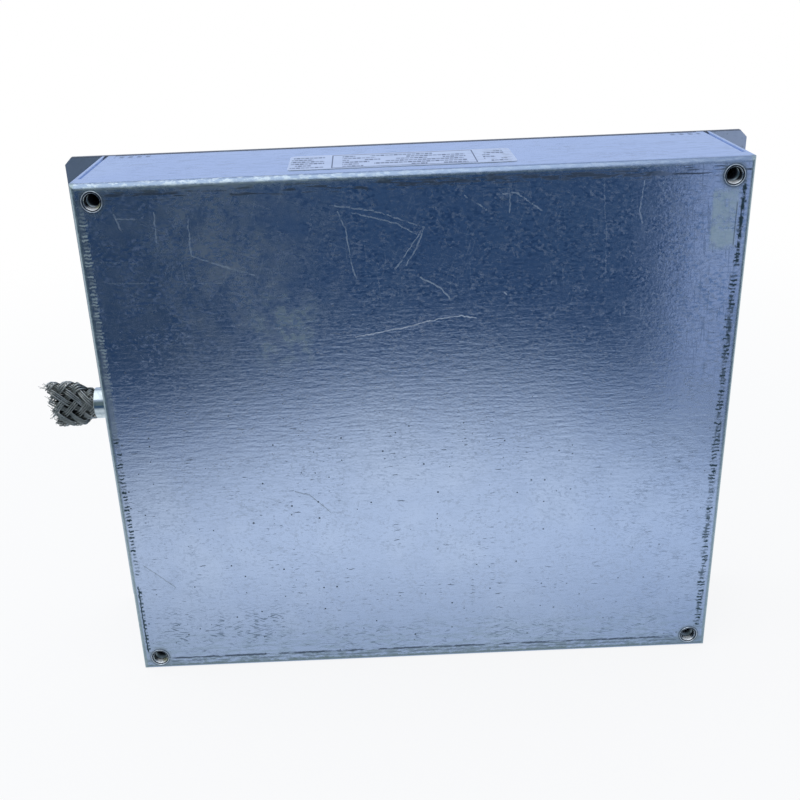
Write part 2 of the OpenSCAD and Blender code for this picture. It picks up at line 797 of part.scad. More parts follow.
module board_spacers()
    color([0.78, 0.78, 0.76]) at_spacers(board_back_y) difference() {
        union() {
            along_y([0, 0, 0], spacer_height, spacer_r);
            along_y([0, 0, 0], spacer_height + plate_thickness, spacer_foot_r);
        }
        along_y([0, -past, 0], board_screw_length - board_thickness + spacer_bore_rest + past,
                board_screw_r + thread_fit);
    }

module board_screws()
    color([0.78, 0.78, 0.76]) at_spacers(board_front_y) rotate([-90, 0, 0])
        pan_screw(board_screw_r, board_screw_length);

module insulation_sheet()
    color([0.93, 0.9, 0.8]) difference() {
        translate([board_left_x - insulation_margin, plate_y - insulation_thickness,
                   mid_z - board_height / 2 - insulation_margin])
            cube([board_length + 2 * insulation_margin, insulation_thickness,
                  board_height + 2 * insulation_margin]);
        at_spacers(plate_y - insulation_thickness - past)
            along_y([0, 0, 0], insulation_thickness + 2 * past, spacer_r + fit);
    }

// ---- choke: its own axis is Z, turned to stand on the board ----

module on_board(x, z)
    translate([x, board_front_y, z]) rotate([90, 0, 0]) children();

// Lowest plane of the core above the board
core_rise = choke_base_t + wire_thickness + fit;

module choke_core()
    color([0.2, 0.2, 0.21]) on_board(board_x, mid_z)
        translate([0, 0, core_rise]) rotate_extrude()
            translate([core_inner_r, 0]) square([core_outer_r - core_inner_r, core_height]);

// Outline of a winding seen along the choke's axis: its turns are bars that merge
// between the inner ends and the radius where neighbouring sides meet
function turn_mid(k) = (k - (turn_count - 1) / 2) * turn_angle;
function polar(radius, angle) = radius * [cos(angle), sin(angle)];
function turn_corner(k, side) = polar(1, turn_mid(k)) * winding_outer_r
    + side * polar(wire_width / 2, turn_mid(k) + 90);
winding_outline = concat(
    [for (k = [0:turn_count - 1]) each concat(
        k == 0 ? [] : [polar(wire_width / 2 / sin(turn_angle / 2), turn_mid(k - 0.5))],
        [turn_corner(k, -1), turn_corner(k, 1)])],
    [for (k = [turn_count:-1:0])
        polar(winding_inner_r / cos(turn_angle / 2), turn_mid(k - 0.5))]);

module choke_winding(i)
    color([0.72, 0.4, 0.2]) on_board(board_x, mid_z) rotate(i * 120 + 90) {
        difference() {
            translate([0, 0, choke_base_t]) linear_extrude(winding_height)
                polygon(winding_outline);
            translate([0, 0, choke_base_t + wire_thickness]) rotate_extrude()
                translate([core_inner_r - fit, 0])
                    square([core_outer_r - core_inner_r + 2 * fit, core_height + 2 * fit]);
        }
        for (end = [0, turn_count - 1])
            rotate(turn_mid(end)) translate([winding_outer_r - wire_thickness / 2, 0, 0])
                cylinder(h = choke_base_t + wire_thickness / 2, r = winding_pin_r);
    }

module choke_base()
    color([0.9, 0.88, 0.8]) on_board(board_x, mid_z)
        difference() {
            cylinder(h = choke_base_t, r = core_outer_r);
            translate([0, 0, -past]) cylinder(h = choke_base_t + 2 * past, r = choke_hole_r);
        }

module choke_divider()
    color([0.9, 0.88, 0.8]) on_board(board_x, mid_z) translate([0, 0, choke_base_t]) {
        cylinder(h = winding_height, r = divider_hub_r);
        for (i = [0:2])
            rotate(i * 120 + 30) translate([divider_hub_r / 2, -divider_t / 2, divider_drop])
                cube([core_inner_r - fit - divider_hub_r / 2, divider_t,
                      winding_height - 2 * divider_drop]);
    }

// ---- capacitors and resistors ----

// Leg through the board, from the component's underside
module leg(x, z)
    along_y([x, board_front_y, z], leg_reach, leg_r);

module x_capacitor(i) {
    place = x_cap_place(i);
    color([0.85, 0.75, 0.25]) {
        translate([place[0] - x_cap_width / 2, board_front_y - x_cap_height,
                   place[1] - x_cap_length / 2])
            cube([x_cap_width, x_cap_height, x_cap_length]);
        for (s = [-1, 1]) leg(place[0], place[1] + s * x_cap_leg);
    }
}

module y_capacitor(i) {
    place = y_cap_place(i);
    color([0.3, 0.45, 0.7]) {
        translate([place[0] - y_cap_length / 2, board_front_y - y_cap_height,
                   place[1] - y_cap_width / 2])
            cube([y_cap_length, y_cap_height, y_cap_width]);
        for (s = [-1, 1]) leg(place[0] + s * y_cap_leg, place[1]);
    }
}

module resistor(i) {
    place = resistor_place(i);
    axis_y = board_front_y - resistor_r - resistor_gap;
    foot_y = board_front_y + leg_reach;
    color([0.55, 0.6, 0.65]) {
        along_x([place[0] - resistor_length / 2, axis_y, place[1]], resistor_length, resistor_r);
        bent_rod([[place[0] - resistor_leg, foot_y, place[1]],
                  [place[0] - resistor_leg, axis_y, place[1]],
                  [place[0] + resistor_leg, axis_y, place[1]],
                  [place[0] + resistor_leg, foot_y, place[1]]], leg_r, resistor_bend);
    }
}

// ---- leads ----

// Phase lead from a terminal's tail down to the board
module line_lead(i) {
    z = terminal_z(i);
    color([0.15, 0.15, 0.16])
        bent_rod([[tail_x, block_y, z], [line_pad_x, block_y, z],
                  [line_pad_x, board_front_y, z]], lead_r, lead_bend);
}

// Four leads lie two by two in the ferrule and end inside it
lead_stub = 2;
lead_offset = lead_r + thread_fit;
function load_lead_offset(i) = [i < 2 ? 1 : -1, i % 2 == 0 ? 1 : -1] * lead_offset;

module load_lead(i) {
    offset_yz = load_lead_offset(i);
    y = ferrule_y + offset_yz[0];
    z = ferrule_z + offset_yz[1];
    pad_x = board_left_x + pad_inset + (i < 2 ? 0 : pad_step);
    color(i == 3 ? [0.45, 0.62, 0.2] : [0.15, 0.15, 0.16])
        bent_rod([[-end_x - lead_stub, y, z], [pad_x, y, z], [pad_x, board_front_y, z]],
                 lead_r, lead_bend);
}

// Lugs lie on each other: the first one's barrel points up, the second one's down
function lug_way(i) = i == 0 ? 1 : -1;
function lug_y(i) = plate_y - (i + 1) * lug_thickness;
function barrel_y(i) = plate_y - i * lug_thickness - barrel_r - fit;
function barrel_end_z(i) = stud_z + lug_way(i) * (barrel_start + barrel_length);

// Earth lead from the lowest terminal to the first lug
module earth_lead()
    color([0.45, 0.62, 0.2])
        bent_rod([[tail_x, block_y, lowest_terminal_z], [stud_x, block_y, lowest_terminal_z],
                  [stud_x, barrel_y(0), lowest_terminal_z],
                  [stud_x, barrel_y(0), barrel_end_z(0)]], lead_r, lead_bend);

// Earth lead from the second lug over the board's edge to its pad
module board_earth_lead() {
    turn_z = barrel_end_z(1) - lead_bend - lead_straight;
    hop_y = board_front_y - lead_bend - lead_straight;
    color([0.45, 0.62, 0.2])
        bent_rod([[stud_x, barrel_y(1), barrel_end_z(1)], [stud_x, barrel_y(1), turn_z],
                  [stud_x, hop_y, turn_z], [line_pad_x, hop_y, turn_z],
                  [line_pad_x, board_front_y, turn_z]], lead_r, lead_bend);
}

// ---- earth stud and what is on it ----

module earth_stud()
    color([0.78, 0.78, 0.76]) translate([stud_x, back_y, stud_z]) rotate([90, 0, 0]) {
        cylinder(h = stud_head_t, r = stud_head_r);
        cylinder(h = plate_thickness + stud_length, r = stud_r);
    }

module earth_lug(i)
    color([0.8, 0.78, 0.74]) difference() {
        union() {
            along_y([stud_x, lug_y(i), stud_z], lug_thickness, lug_r);
            translate([stud_x - barrel_r, lug_y(i),
                       min(stud_z, stud_z + lug_way(i) * tongue_length)])
                cube([2 * barrel_r, lug_thickness, tongue_length]);
            translate([stud_x, barrel_y(i),
                       min(stud_z + lug_way(i) * barrel_start, barrel_end_z(i))])
                cylinder(h = barrel_length, r = barrel_r);
        }
        along_y([stud_x, lug_y(i) - past, stud_z], lug_thickness + 2 * past, stud_r + fit);
    }

module earth_washer()
    color([0.78, 0.78, 0.76]) difference() {
        along_y([stud_x, lug_y(2), stud_z], lug_thickness, lug_r);
        along_y([stud_x, lug_y(2) - past, stud_z], lug_thickness + 2 * past, stud_r + fit);
    }

module earth_nut()
    color([0.78, 0.78, 0.76]) difference() {
        along_y([stud_x, lug_y(2) - stud_nut_h, stud_z], stud_nut_h, stud_nut_r, $fn = 6);
        along_y([stud_x, lug_y(2) - stud_nut_h - past, stud_z], stud_nut_h + 2 * past,
                stud_r + thread_fit);
    }

case_tray();
base_plate();
plate_screws();
drive_nuts();
rating_label();
cable_ferrule();
shield_braid();
terminal_block();
terminal_clamps();
terminal_screws();
block_screws();
circuit_board();
board_spacers();
board_screws();
insulation_sheet();
choke_core();
choke_winding(0);  // choke_winding_1
choke_winding(1);  // choke_winding_2
choke_winding(2);  // choke_winding_3
choke_base();
choke_divider();
x_capacitor(0);  // x_capacitor_1
x_capacitor(1);  // x_capacitor_2
x_capacitor(2);  // x_capacitor_3
x_capacitor(3);  // x_capacitor_4
x_capacitor(4);  // x_capacitor_5
x_capacitor(5);  // x_capacitor_6
y_capacitor(0);  // y_capacitor_1
y_capacitor(1);  // y_capacitor_2
y_capacitor(2);  // y_capacitor_3
y_capacitor(3);  // y_capacitor_4
resistor(0);  // resistor_1
resistor(1);  // resistor_2
resistor(2);  // resistor_3
line_lead(1);  // line_lead_1
line_lead(2);  // line_lead_2
line_lead(3);  // line_lead_3
load_lead(0);  // load_lead_1
load_lead(1);  // load_lead_2
load_lead(2);  // load_lead_3
load_lead(3);  // load_earth_lead
earth_lead();
board_earth_lead();
earth_stud();
earth_lug(0);  // earth_lug_1
earth_lug(1);  // earth_lug_2
earth_washer();
earth_nut();
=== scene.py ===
import math
import random

import bpy
from mathutils import Matrix, Vector


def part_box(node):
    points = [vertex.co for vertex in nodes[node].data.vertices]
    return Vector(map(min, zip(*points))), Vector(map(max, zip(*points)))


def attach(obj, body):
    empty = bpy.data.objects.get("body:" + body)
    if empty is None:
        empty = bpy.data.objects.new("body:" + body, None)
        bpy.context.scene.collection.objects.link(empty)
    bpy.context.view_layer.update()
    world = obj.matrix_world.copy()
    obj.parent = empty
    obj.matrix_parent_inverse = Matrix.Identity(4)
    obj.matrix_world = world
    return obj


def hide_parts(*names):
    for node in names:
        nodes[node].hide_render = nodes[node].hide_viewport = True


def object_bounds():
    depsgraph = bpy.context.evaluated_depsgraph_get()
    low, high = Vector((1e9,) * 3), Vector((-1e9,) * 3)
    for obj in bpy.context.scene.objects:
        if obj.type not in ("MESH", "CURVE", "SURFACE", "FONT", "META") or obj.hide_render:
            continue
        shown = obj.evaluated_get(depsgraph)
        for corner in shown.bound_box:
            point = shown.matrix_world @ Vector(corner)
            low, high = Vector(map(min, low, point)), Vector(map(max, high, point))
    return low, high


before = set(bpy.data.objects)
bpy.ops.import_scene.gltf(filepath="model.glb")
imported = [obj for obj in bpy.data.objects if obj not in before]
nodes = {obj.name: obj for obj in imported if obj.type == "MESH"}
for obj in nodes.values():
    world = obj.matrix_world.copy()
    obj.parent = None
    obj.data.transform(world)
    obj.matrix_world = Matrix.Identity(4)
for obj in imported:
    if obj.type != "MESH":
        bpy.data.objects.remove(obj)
cadLow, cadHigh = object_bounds()
mm = 0.001
frontY = float(cadLow.y) * 1000  # millimetres
topZ = float(cadHigh.z) * 1000
print("frame loaded:", len(nodes), "nodes")


cameraSetup = {
    "place": (-15.19, -378.73, 248.34),  # millimetres
    "turn": -0.25,  # degrees
    "tilt": 64.07,
    "roll": -2.34,
    "lens": 49.18,
    "sensor": 36,
    "shift": (0.0221, 0.0994),
    "nearest": 0.01,  # metres
}


def addCamera(setup):
    lens = bpy.data.cameras.new("productCamera")
    lens.lens = setup["lens"]
    lens.sensor_width = setup["sensor"]
    lens.shift_x, lens.shift_y = setup["shift"]
    lens.clip_start = setup["nearest"]
    camera = bpy.data.objects.new("productCamera", lens)
    bpy.context.scene.collection.objects.link(camera)
    turn = Matrix.Rotation(math.radians(setup["turn"]), 4, "Z")
    tilt = Matrix.Rotation(math.radians(setup["tilt"]), 4, "X")
    roll = Matrix.Rotation(math.radians(setup["roll"]), 4, "Z")
    camera.matrix_world = Matrix.Translation(Vector(setup["place"]) * mm) @ turn @ tilt @ roll
    bpy.context.scene.camera = camera


addCamera(cameraSetup)
bpy.context.scene.view_settings.view_transform = "Standard"
print("camera placed")


def addNode(tree, kind, sockets=None, **settings):
    node = tree.nodes.new("ShaderNode" + kind)
    for name, value in settings.items():
        setattr(node, name, value)
    for key, value in (sockets or {}).items():
        if isinstance(value, bpy.types.NodeSocket):
            tree.links.new(value, node.inputs[key])
        else:
            node.inputs[key].default_value = value
    return node


def calc(tree, operation, first, second=0.0, third=0.0):
    return addNode(tree, "Math", {0: first, 1: second, 2: third}, operation=operation).outputs[0]


def ramp(tree, value, low, high, start=0.0, end=1.0):
    # a soft step: start below low, end above high
    sockets = {"Value": value, "From Min": low, "From Max": high, "To Min": start, "To Max": end}
    return addNode(tree, "MapRange", sockets, interpolation_type="SMOOTHSTEP").outputs[0]


def blend(tree, share, first, second):
    node = addNode(tree, "Mix", {0: share, 6: first, 7: second}, data_type="RGBA")
    return node.outputs[2]


def tinted(tree, first, second):
    # one colour multiplied by another
    node = addNode(tree, "Mix", {0: 1.0, 6: first, 7: second}, data_type="RGBA", blend_type="MULTIPLY")
    return node.outputs[2]


def paint(red, green, blue):
    return (red, green, blue, 1.0)


def newMaterial(name):
    material = bpy.data.materials.new(name)
    material.use_nodes = True
    material.node_tree.nodes.clear()
    return material


def shifted(base, offsets):
    # places that are measured from another
    return [base + offset for offset in offsets]


class Finish:
    # one material and the nodes that draw it; its lengths are in millimetres of the object
    seedShift = (37.3, 19.1, 53.7)  # how far a texture moves for each seed
    dotShift = (7.7, 3.1)
    streakLevels = (0.80, 0.86)
    streakGain = 0.2

    def __init__(self, name, color, rough, metal=1.0):
        self.material = newMaterial(name)
        self.tree = self.material.node_tree
        self.shader = addNode(self.tree, "BsdfPrincipled")
        addNode(self.tree, "OutputMaterial", {"Surface": self.shader.outputs[0]})
        place = addNode(self.tree, "TexCoord").outputs["Object"]
        self.place = self.vectors("SCALE", {0: place, "Scale": 1 / mm})
        split = addNode(self.tree, "SeparateXYZ", {0: self.place})
        self.x, self.y, self.z = split.outputs
        self.color = paint(*color)
        self.rough = rough
        self.metal = metal
        self.heights = []

    def calc(self, operation, first, second=0.0, third=0.0):
        return calc(self.tree, operation, first, second, third)

    def ramp(self, value, low, high, start=0.0, end=1.0):
        return ramp(self.tree, value, low, high, start, end)

    def vectors(self, operation, sockets):
        # a step of vector working, which ends in a number or a vector
        node = addNode(self.tree, "VectorMath", sockets, operation=operation)
        return node.outputs["Value" if operation in ("LENGTH", "DISTANCE", "DOT_PRODUCT") else "Vector"]

    def band(self, value, low, high, edge):
        # 1 between low and high, 0 outside
        rise = self.ramp(value, low - edge / 2, low + edge / 2)
        fall = self.ramp(value, high + edge / 2, high - edge / 2)
        return self.calc("MULTIPLY", rise, fall)

    def area(self, u, uBand, v, vBand):
        # 1 where two bands cross
        return self.times(self.band(u, *uBand), self.band(v, *vBand))

    def times(self, *masks):
        product = masks[0]
        for mask in masks[1:]:
            product = self.calc("MULTIPLY", product, mask)
        return product

    def most(self, *masks):
        top = masks[0]
        for mask in masks[1:]:
            top = self.calc("MAXIMUM", top, mask)
        return top

    def plane(self, u, v):
        return addNode(self.tree, "CombineXYZ", {0: u, 1: v}).outputs[0]

    def noise(self, size, detail, rough, seed, slope=0.0):
        # size is how far apart its lumps are, one number or one for each axis
        sizes = size if isinstance(size, tuple) else (size, size, size)
        shift = [seed * step for step in self.seedShift]
        turn = (0.0, math.radians(slope), 0.0)
        sockets = {0: self.place, "Location": shift, "Rotation": turn, "Scale": sizes}
        spread = addNode(self.tree, "Mapping", sockets, vector_type="TEXTURE").outputs[0]
        sockets = {"Vector": spread, "Scale": 1.0, "Detail": detail, "Roughness": rough}
        return addNode(self.tree, "TexNoise", sockets).outputs[0]

    def patch(self, size, detail, rough, seed, *levels):
        # a noise cut to soft patches
        return self.ramp(self.noise(size, detail, rough, seed), *levels)

    def waver(self, value, bumps, reach):
        # pushes a coordinate to and fro, so that an edge on it strays
        return self.calc("MULTIPLY_ADD", bumps, reach, self.calc("SUBTRACT", value, reach / 2))

    def wave(self, value, rate):
        # even stripes across a coordinate
        return self.calc("SINE", self.calc("MULTIPLY", value, rate))

    def streaks(self, length, width, slope, amount, seed):
        # short straight scratches at one slope; amount grows from 0 to 1
        level = self.noise((length, width, width), 0.0, 0.0, seed, slope)
        return self.ramp(level, *shifted(-self.streakGain * amount, self.streakLevels))

    def chance(self, value):
        # a fixed random number for a whole number
        return addNode(self.tree, "TexWhiteNoise", {"W": value}, noise_dimensions="1D").outputs[0]

    def dots(self, u, v, size, stretch, seed):
        # distance to the nearest of many scattered points, and a random number of that point
        flat = self.plane(self.calc("DIVIDE", u, size * stretch), self.calc("DIVIDE", v, size))
        shift = [seed * step for step in self.dotShift] + [0]
        place = self.vectors("ADD", {0: flat, 1: shift})
        cell = addNode(self.tree, "TexVoronoi", {"Vector": place, "Scale": 1.0}, voronoi_dimensions="2D")
        away = self.calc("MULTIPLY", cell.outputs["Distance"], size)
        lot = addNode(self.tree, "SeparateColor", {0: cell.outputs["Color"]}).outputs[0]
        return away, lot

    def gapTo(self, lines, flat):
        # distance from the nearest of the lines, each a list of points on the flat plane
        nearest = None
        for points in lines:
            for start, end in zip(points, points[1:]):
                along = Vector((end[0] - start[0], end[1] - start[1], 0))
                offset = self.vectors("SUBTRACT", {0: flat, 1: (start[0], start[1], 0)})
                share = self.vectors("DOT_PRODUCT", {0: offset, 1: along / along.length_squared})
                share = self.calc("MINIMUM", self.calc("MAXIMUM", share, 0.0), 1.0)
                foot = self.vectors("SCALE", {0: along, "Scale": share})
                gap = self.vectors("DISTANCE", {0: offset, 1: foot})
                nearest = gap if nearest is None else self.calc("MINIMUM", nearest, gap)
        return nearest

    def layCoat(self, mask, share, color, rough=None, metal=None):
        # lays another finish over the present one where the mask is 1
        if share != 1.0:
            mask = self.times(mask, share)
        self.color = blend(self.tree, mask, self.color, paint(*color))
        if rough is not None:
            self.rough = self.mixNumber(mask, self.rough, rough)
        if metal is not None:
            self.metal = self.mixNumber(mask, self.metal, metal)

    def mixNumber(self, mask, first, second):
        node = addNode(self.tree, "Mix", {0: mask, 2: first, 3: second}, data_type="FLOAT")
        return node.outputs[0]

    def relief(self, height, strength):
        # a height pattern and its depth in millimetres
        self.heights.append(self.calc("MULTIPLY", height, strength))

    def done(self):
        sockets = {"Base Color": self.color, "Roughness": self.rough, "Metallic": self.metal}
        for socket, value in sockets.items():
            if isinstance(value, bpy.types.NodeSocket):
                self.tree.links.new(value, self.shader.inputs[socket])
            else:
                self.shader.inputs[socket].default_value = value
        if self.heights:
            total = self.heights[0]
            for height in self.heights[1:]:
                total = self.calc("ADD", total, height)
            bump = addNode(self.tree, "Bump", {"Height": total, "Distance": mm, "Strength": 1.0})
            self.tree.links.new(bump.outputs[0], self.shader.inputs["Normal"])
        return self.material


studio = {
    "floorSize": 8.0,  # metres
    "ambient": (0.62, 0.66, 0.74),
    "lampPlace": (-0.75, -0.3, 1.5),
    "lampSize": 2.4,
    "lampPower": 13.5,
    "lampColor": (0.94, 0.98, 1.0),
    "nearFloor": (0.65, 0.735, 0.858),
    # painted shadow: the floor's glow, as the metal shows it, darkens towards the case's foot
    "footShadowFloor": (0.45, 0.53, 0.65),
    "farFloor": (0.036, 0.076, 0.150),
    "paleStart": 0.12,  # metres in front of the case
    "paleEnd": 0.43,
    "paleMiddle": 0.012,
    "paleBend": 2.9,
    # metres in front of the case where the painted shadow at the foot fades out
    "footShadowEnd": 0.10,
    "frontEdge": (-0.01, 0.0),  # where the floor in front of the case begins
    "dimRight": (0.02, 0.15, (0.83, 0.87, 0.93)),  # from, to and the tint there
    "dimLeft": (-0.05, -0.13, (0.93, 0.93, 0.93)),
    "bareShare": (0.2, 0.75, 0.86),  # from, to and the share of the floor's glow at the object
    "plainFloor": (0.82, 0.83, 0.85),
    "front": (0.10, 0.145, 0.175),
    "rear": (0.48, 0.59, 0.85),
    "side": (0.26, 0.32, 0.38),
    "above": (0.40, 0.48, 0.66),
    "sideFrom": (-0.75, -0.15),  # directions between which the world turns to the next colour
    "rearFrom": (0.2, 0.8),
    "aboveFrom": (0.35, 0.7),
    "cardGlow": (0.30, 0.375, 0.54),
    "cardY": -0.2775,
    "cardFrom": (0.1575, 0.0),
    "cardTo": (0.75, 0.35),
}


def backgroundRay(tree):
    # rays that see the backdrop itself: from the camera, off metal and through glass
    path = addNode(tree, "LightPath").outputs
    either = calc(tree, "MAXIMUM", path["Is Camera Ray"], path["Is Glossy Ray"])
    either = calc(tree, "MAXIMUM", either, path["Is Transmission Ray"])
    return path["Is Camera Ray"], either


def makeFloor(setup):
    bpy.ops.object.select_all(action="DESELECT")
    bpy.ops.mesh.primitive_plane_add(size=setup["floorSize"])
    floor = bpy.context.object
    floor.name = "studioFloor"
    material = newMaterial("studioFloor")
    tree = material.node_tree
    place = addNode(tree, "TexCoord").outputs["Object"]
    x, y, z = addNode(tree, "SeparateXYZ", {0: place}).outputs
    front = calc(tree, "SUBTRACT", float(cadLow.y), y)
    beside = calc(tree, "SUBTRACT", x, setup["paleMiddle"])
    beside = calc(tree, "MULTIPLY", beside, beside)
    reach = calc(tree, "MULTIPLY_ADD", beside, setup["paleBend"], front)
    near = paint(*setup["nearFloor"])
    # painted shadow: the glow darkens towards the case's foot
    color = blend(tree, ramp(tree, front, 0.0, setup["footShadowEnd"]), paint(*setup["footShadowFloor"]), near)
    for side in ("dimRight", "dimLeft"):
        start, end, tint = setup[side]
        tint = blend(tree, ramp(tree, x, start, end), paint(1, 1, 1), paint(*tint))
        color = tinted(tree, color, tint)
    inFront = ramp(tree, front, *setup["frontEdge"])
    color = blend(tree, inFront, near, color)
    away = ramp(tree, reach, setup["paleStart"], setup["paleEnd"])
    away = calc(tree, "MULTIPLY", away, inFront)
    color = blend(tree, away, color, paint(*setup["farFloor"]))
    isCamera, isBackground = backgroundRay(tree)
    seen = blend(tree, isCamera, color, paint(1, 1, 1))
    # near the object the lit floor shows through, so that its shadow stays
    distance = addNode(tree, "VectorMath", {0: place}, operation="LENGTH").outputs["Value"]
    start, end, least = setup["bareShare"]
    bare = ramp(tree, distance, start, end, least, 1.0)
    bare = calc(tree, "MULTIPLY", bare, isCamera)
    isOther = calc(tree, "SUBTRACT", isBackground, isCamera)
    share = calc(tree, "ADD", bare, isOther)
    plain = addNode(tree, "BsdfDiffuse", {"Color": paint(*setup["plainFloor"])}).outputs[0]
    glow = addNode(tree, "Emission", {"Color": seen, "Strength": 1.0}).outputs[0]
    mixed = addNode(tree, "MixShader", {0: share, 1: plain, 2: glow}).outputs[0]
    addNode(tree, "OutputMaterial", {"Surface": mixed})
    floor.data.materials.append(material)


def makeCard(setup):
    # a dim card beside the case, seen only in the metal
    left, low = setup["cardFrom"]
    right, high = setup["cardTo"]
    bpy.ops.object.select_all(action="DESELECT")
    middle = ((left + right) / 2, setup["cardY"], (low + high) / 2)
    bpy.ops.mesh.primitive_plane_add(size=1, location=middle)
    card = bpy.context.object
    card.name = "studioCard"
    card.scale = (right - left, high - low, 1)
    card.rotation_euler = (math.radians(90), 0, 0)
    bpy.ops.object.transform_apply(location=True, rotation=True, scale=True)
    material = newMaterial("studioCard")
    tree = material.node_tree
    glow = addNode(tree, "Emission", {"Color": paint(*setup["cardGlow"]), "Strength": 1.0}).outputs[0]
    addNode(tree, "OutputMaterial", {"Surface": glow})
    card.data.materials.append(material)
    card.visible_camera = False
    card.visible_diffuse = False
    card.visible_shadow = False
    card.visible_transmission = False


def makeWorld(setup):
    world = bpy.data.worlds.new("studioWorld")
    world.use_nodes = True
    bpy.context.scene.world = world
    tree = world.node_tree
    tree.nodes.clear()
    direction = addNode(tree, "TexCoord").outputs["Generated"]
    x, y, z = addNode(tree, "SeparateXYZ", {0: direction}).outputs
    color = paint(*setup["front"])
    for value, name in ((y, "side"), (y, "rear"), (z, "above")):
        color = blend(tree, ramp(tree, value, *setup[name + "From"]), color, paint(*setup[name]))
    isCamera, isBackground = backgroundRay(tree)
    seen = blend(tree, isCamera, color, paint(1, 1, 1))
    seen = blend(tree, isBackground, paint(*setup["ambient"]), seen)
    back = addNode(tree, "Background", {"Color": seen, "Strength": 1.0}).outputs[0]
    addNode(tree, "OutputWorld", {"Surface": back})


def makeLamp(setup):
    lamp = bpy.data.lights.new("softLamp", "AREA")
    lamp.shape = "SQUARE"
    lamp.size = setup["lampSize"]
    lamp.energy = setup["lampPower"]
    lamp.color = setup["lampColor"]
    holder = bpy.data.objects.new("softLamp", lamp)
    bpy.context.scene.collection.objects.link(holder)
    holder.location = setup["lampPlace"]


makeFloor(studio)
makeCard(studio)
makeWorld(studio)
makeLamp(studio)
print("studio set up")


# How the finishes below are written down, in millimetres of the object:
# a coat is its share, colour, roughness and share of metal;
# a patch is a texture's size, detail, roughness and seed, the levels between which it sets in,
# and its strengths there if they aren't 0 and 1;
# a band is from, to and the width of its soft edge;
# streaks are their length, width, slope, amount and seed.
zinc = {
    # a blue that is partly the zinc's own tint and partly a painted reflection of bluish light; the pale and
    # dull tones share it
    "color": (0.62, 0.70, 0.86),
    "pale": (0.70, 0.77, 0.90),
    "dull": (0.50, 0.57, 0.68),
    "worn": (0.30, 0.34, 0.34),
    "pit": (0.13, 0.16, 0.19),
    "rough": 0.155,
    "roughSpread": (-0.01, 0.03),
    "metal": 1.0,
    "cloud": (34, 3, 0.55),
    "cloudLevels": (0.42, 0.66, 0.0, 0.6),
    "blotch": ((5.0, 4.0, 4.0), 3, 0.6),
    "blotchLevels": (0.46, 0.68),
    "blotchShare": 0.14,
    "ripple": ((6.0, 1.15, 1.15), 3, 0.55),
    "rippleDepth": 0.062,
    "grain": ((1.0, 0.8, 0.8), 2, 0.6),
    "grainDepth": 0.03,
    "dimple": (2.2, 2, 0.6),
    "dimpleSeeds": (11, 12),
    "waver": 1.2,  # how far an uneven edge strays
    "faceDepth": (0.6, 0.4),  # behind the front, where the wear of the front ends
    "roofDepth": (-1.0, -0.4),
}


def layZinc(finish, setup, seed=0):
    # the plating itself: clouds, blotches, rolled ripples and a fine grain
    cloud = finish.noise(*setup["cloud"], seed + 1)
    frost = finish.ramp(finish.noise(*setup["blotch"], seed + 2), *setup["blotchLevels"])
    finish.layCoat(finish.ramp(cloud, *setup["cloudLevels"]), 1.0, setup["pale"])
    finish.layCoat(frost, setup["blotchShare"], setup["dull"])
    finish.rough = finish.mixNumber(frost, *shifted(setup["rough"], setup["roughSpread"]))
    finish.relief(finish.noise(*setup["ripple"], seed + 3), setup["rippleDepth"])
    finish.relief(finish.noise(*setup["grain"], seed + 4), setup["grainDepth"])


hazeAndPaintedShade = {
    "haze": (1.0, (0.58, 0.62, 0.66), 0.3, 0.94),
    "hazeX": (-86, -40, 26),
    "hazeZ": (100, 165),
    "thinX": (-108, -25, 16),
    "thinZ": (120, 150),
    "thinShare": 0.45,
    "hazePatch": (9.0, 2, 0.65, 15, 0.30, 0.66, 0.25, 1.0),
    "dull": (0.8, (0.50, 0.52, 0.56)),
    "dullX": (-40, -90),
    "dullZ": (100, 140),
    "milky": (1.0, (0.58, 0.66, 0.68), 0.3, 0.94),
    "milkyX": (-54, -34, 10),
    "milkyZ": (124, 148, 10),
    "milkyPatch": (6.0, 2, 0.6, 14, 0.42, 0.60),
    "crowd": (7.0, 2, 0.7, 17, 0.36, 0.60, 0.25, 1.0),
    # painted shade: darker mottling over the upper front, which deepens its dark reflection
    "deepShade": (0.85, (0.32, 0.45, 0.64)),
    "deepZ": (90, 150),
    "deepPatch": ((2.0, 1.1, 1.0), 1, 0.6, 19, 0.46, 0.60),
    "speck": (1.0, (0.56, 0.63, 0.76), 0.24, 0.937),
    "specks": ((1.1, 0.8, 0.9), 1, 0.5, 16, 15),  # the last is their slope
    "speckLevels": (0.50, 0.68),
}


def layHaze(finish, setup, face):
    # a dull haze over the upper left, a bloom of fine specks everywhere, and painted shade: darker mottling
    # over the upper front
    x, z = finish.x, finish.z
    haze = finish.most(
        finish.times(finish.band(x, *setup["hazeX"]), finish.ramp(z, *setup["hazeZ"])),
        finish.times(finish.band(x, *setup["thinX"]), finish.ramp(z, *setup["thinZ"]), setup["thinShare"]),
    )
    dull = finish.times(finish.ramp(x, *setup["dullX"]), finish.ramp(z, *setup["dullZ"]), face)
    finish.layCoat(dull, *setup["dull"])
    finish.layCoat(finish.times(haze, finish.patch(*setup["hazePatch"]), face), *setup["haze"])
    milky = finish.times(finish.area(x, setup["milkyX"], z, setup["milkyZ"]), face)
    finish.layCoat(finish.times(milky, finish.patch(*setup["milkyPatch"])), *setup["milky"])
    crowd = finish.patch(*setup["crowd"])
    # painted shade: darker mottling over the upper front
    upper = finish.times(finish.ramp(z, *setup["deepZ"]), crowd, face)
    finish.layCoat(finish.times(finish.patch(*setup["deepPatch"]), upper), *setup["deepShade"])
    speck = finish.ramp(finish.noise(*setup["specks"]), *setup["speckLevels"])
    finish.layCoat(finish.times(speck, crowd, face), *setup["speck"])


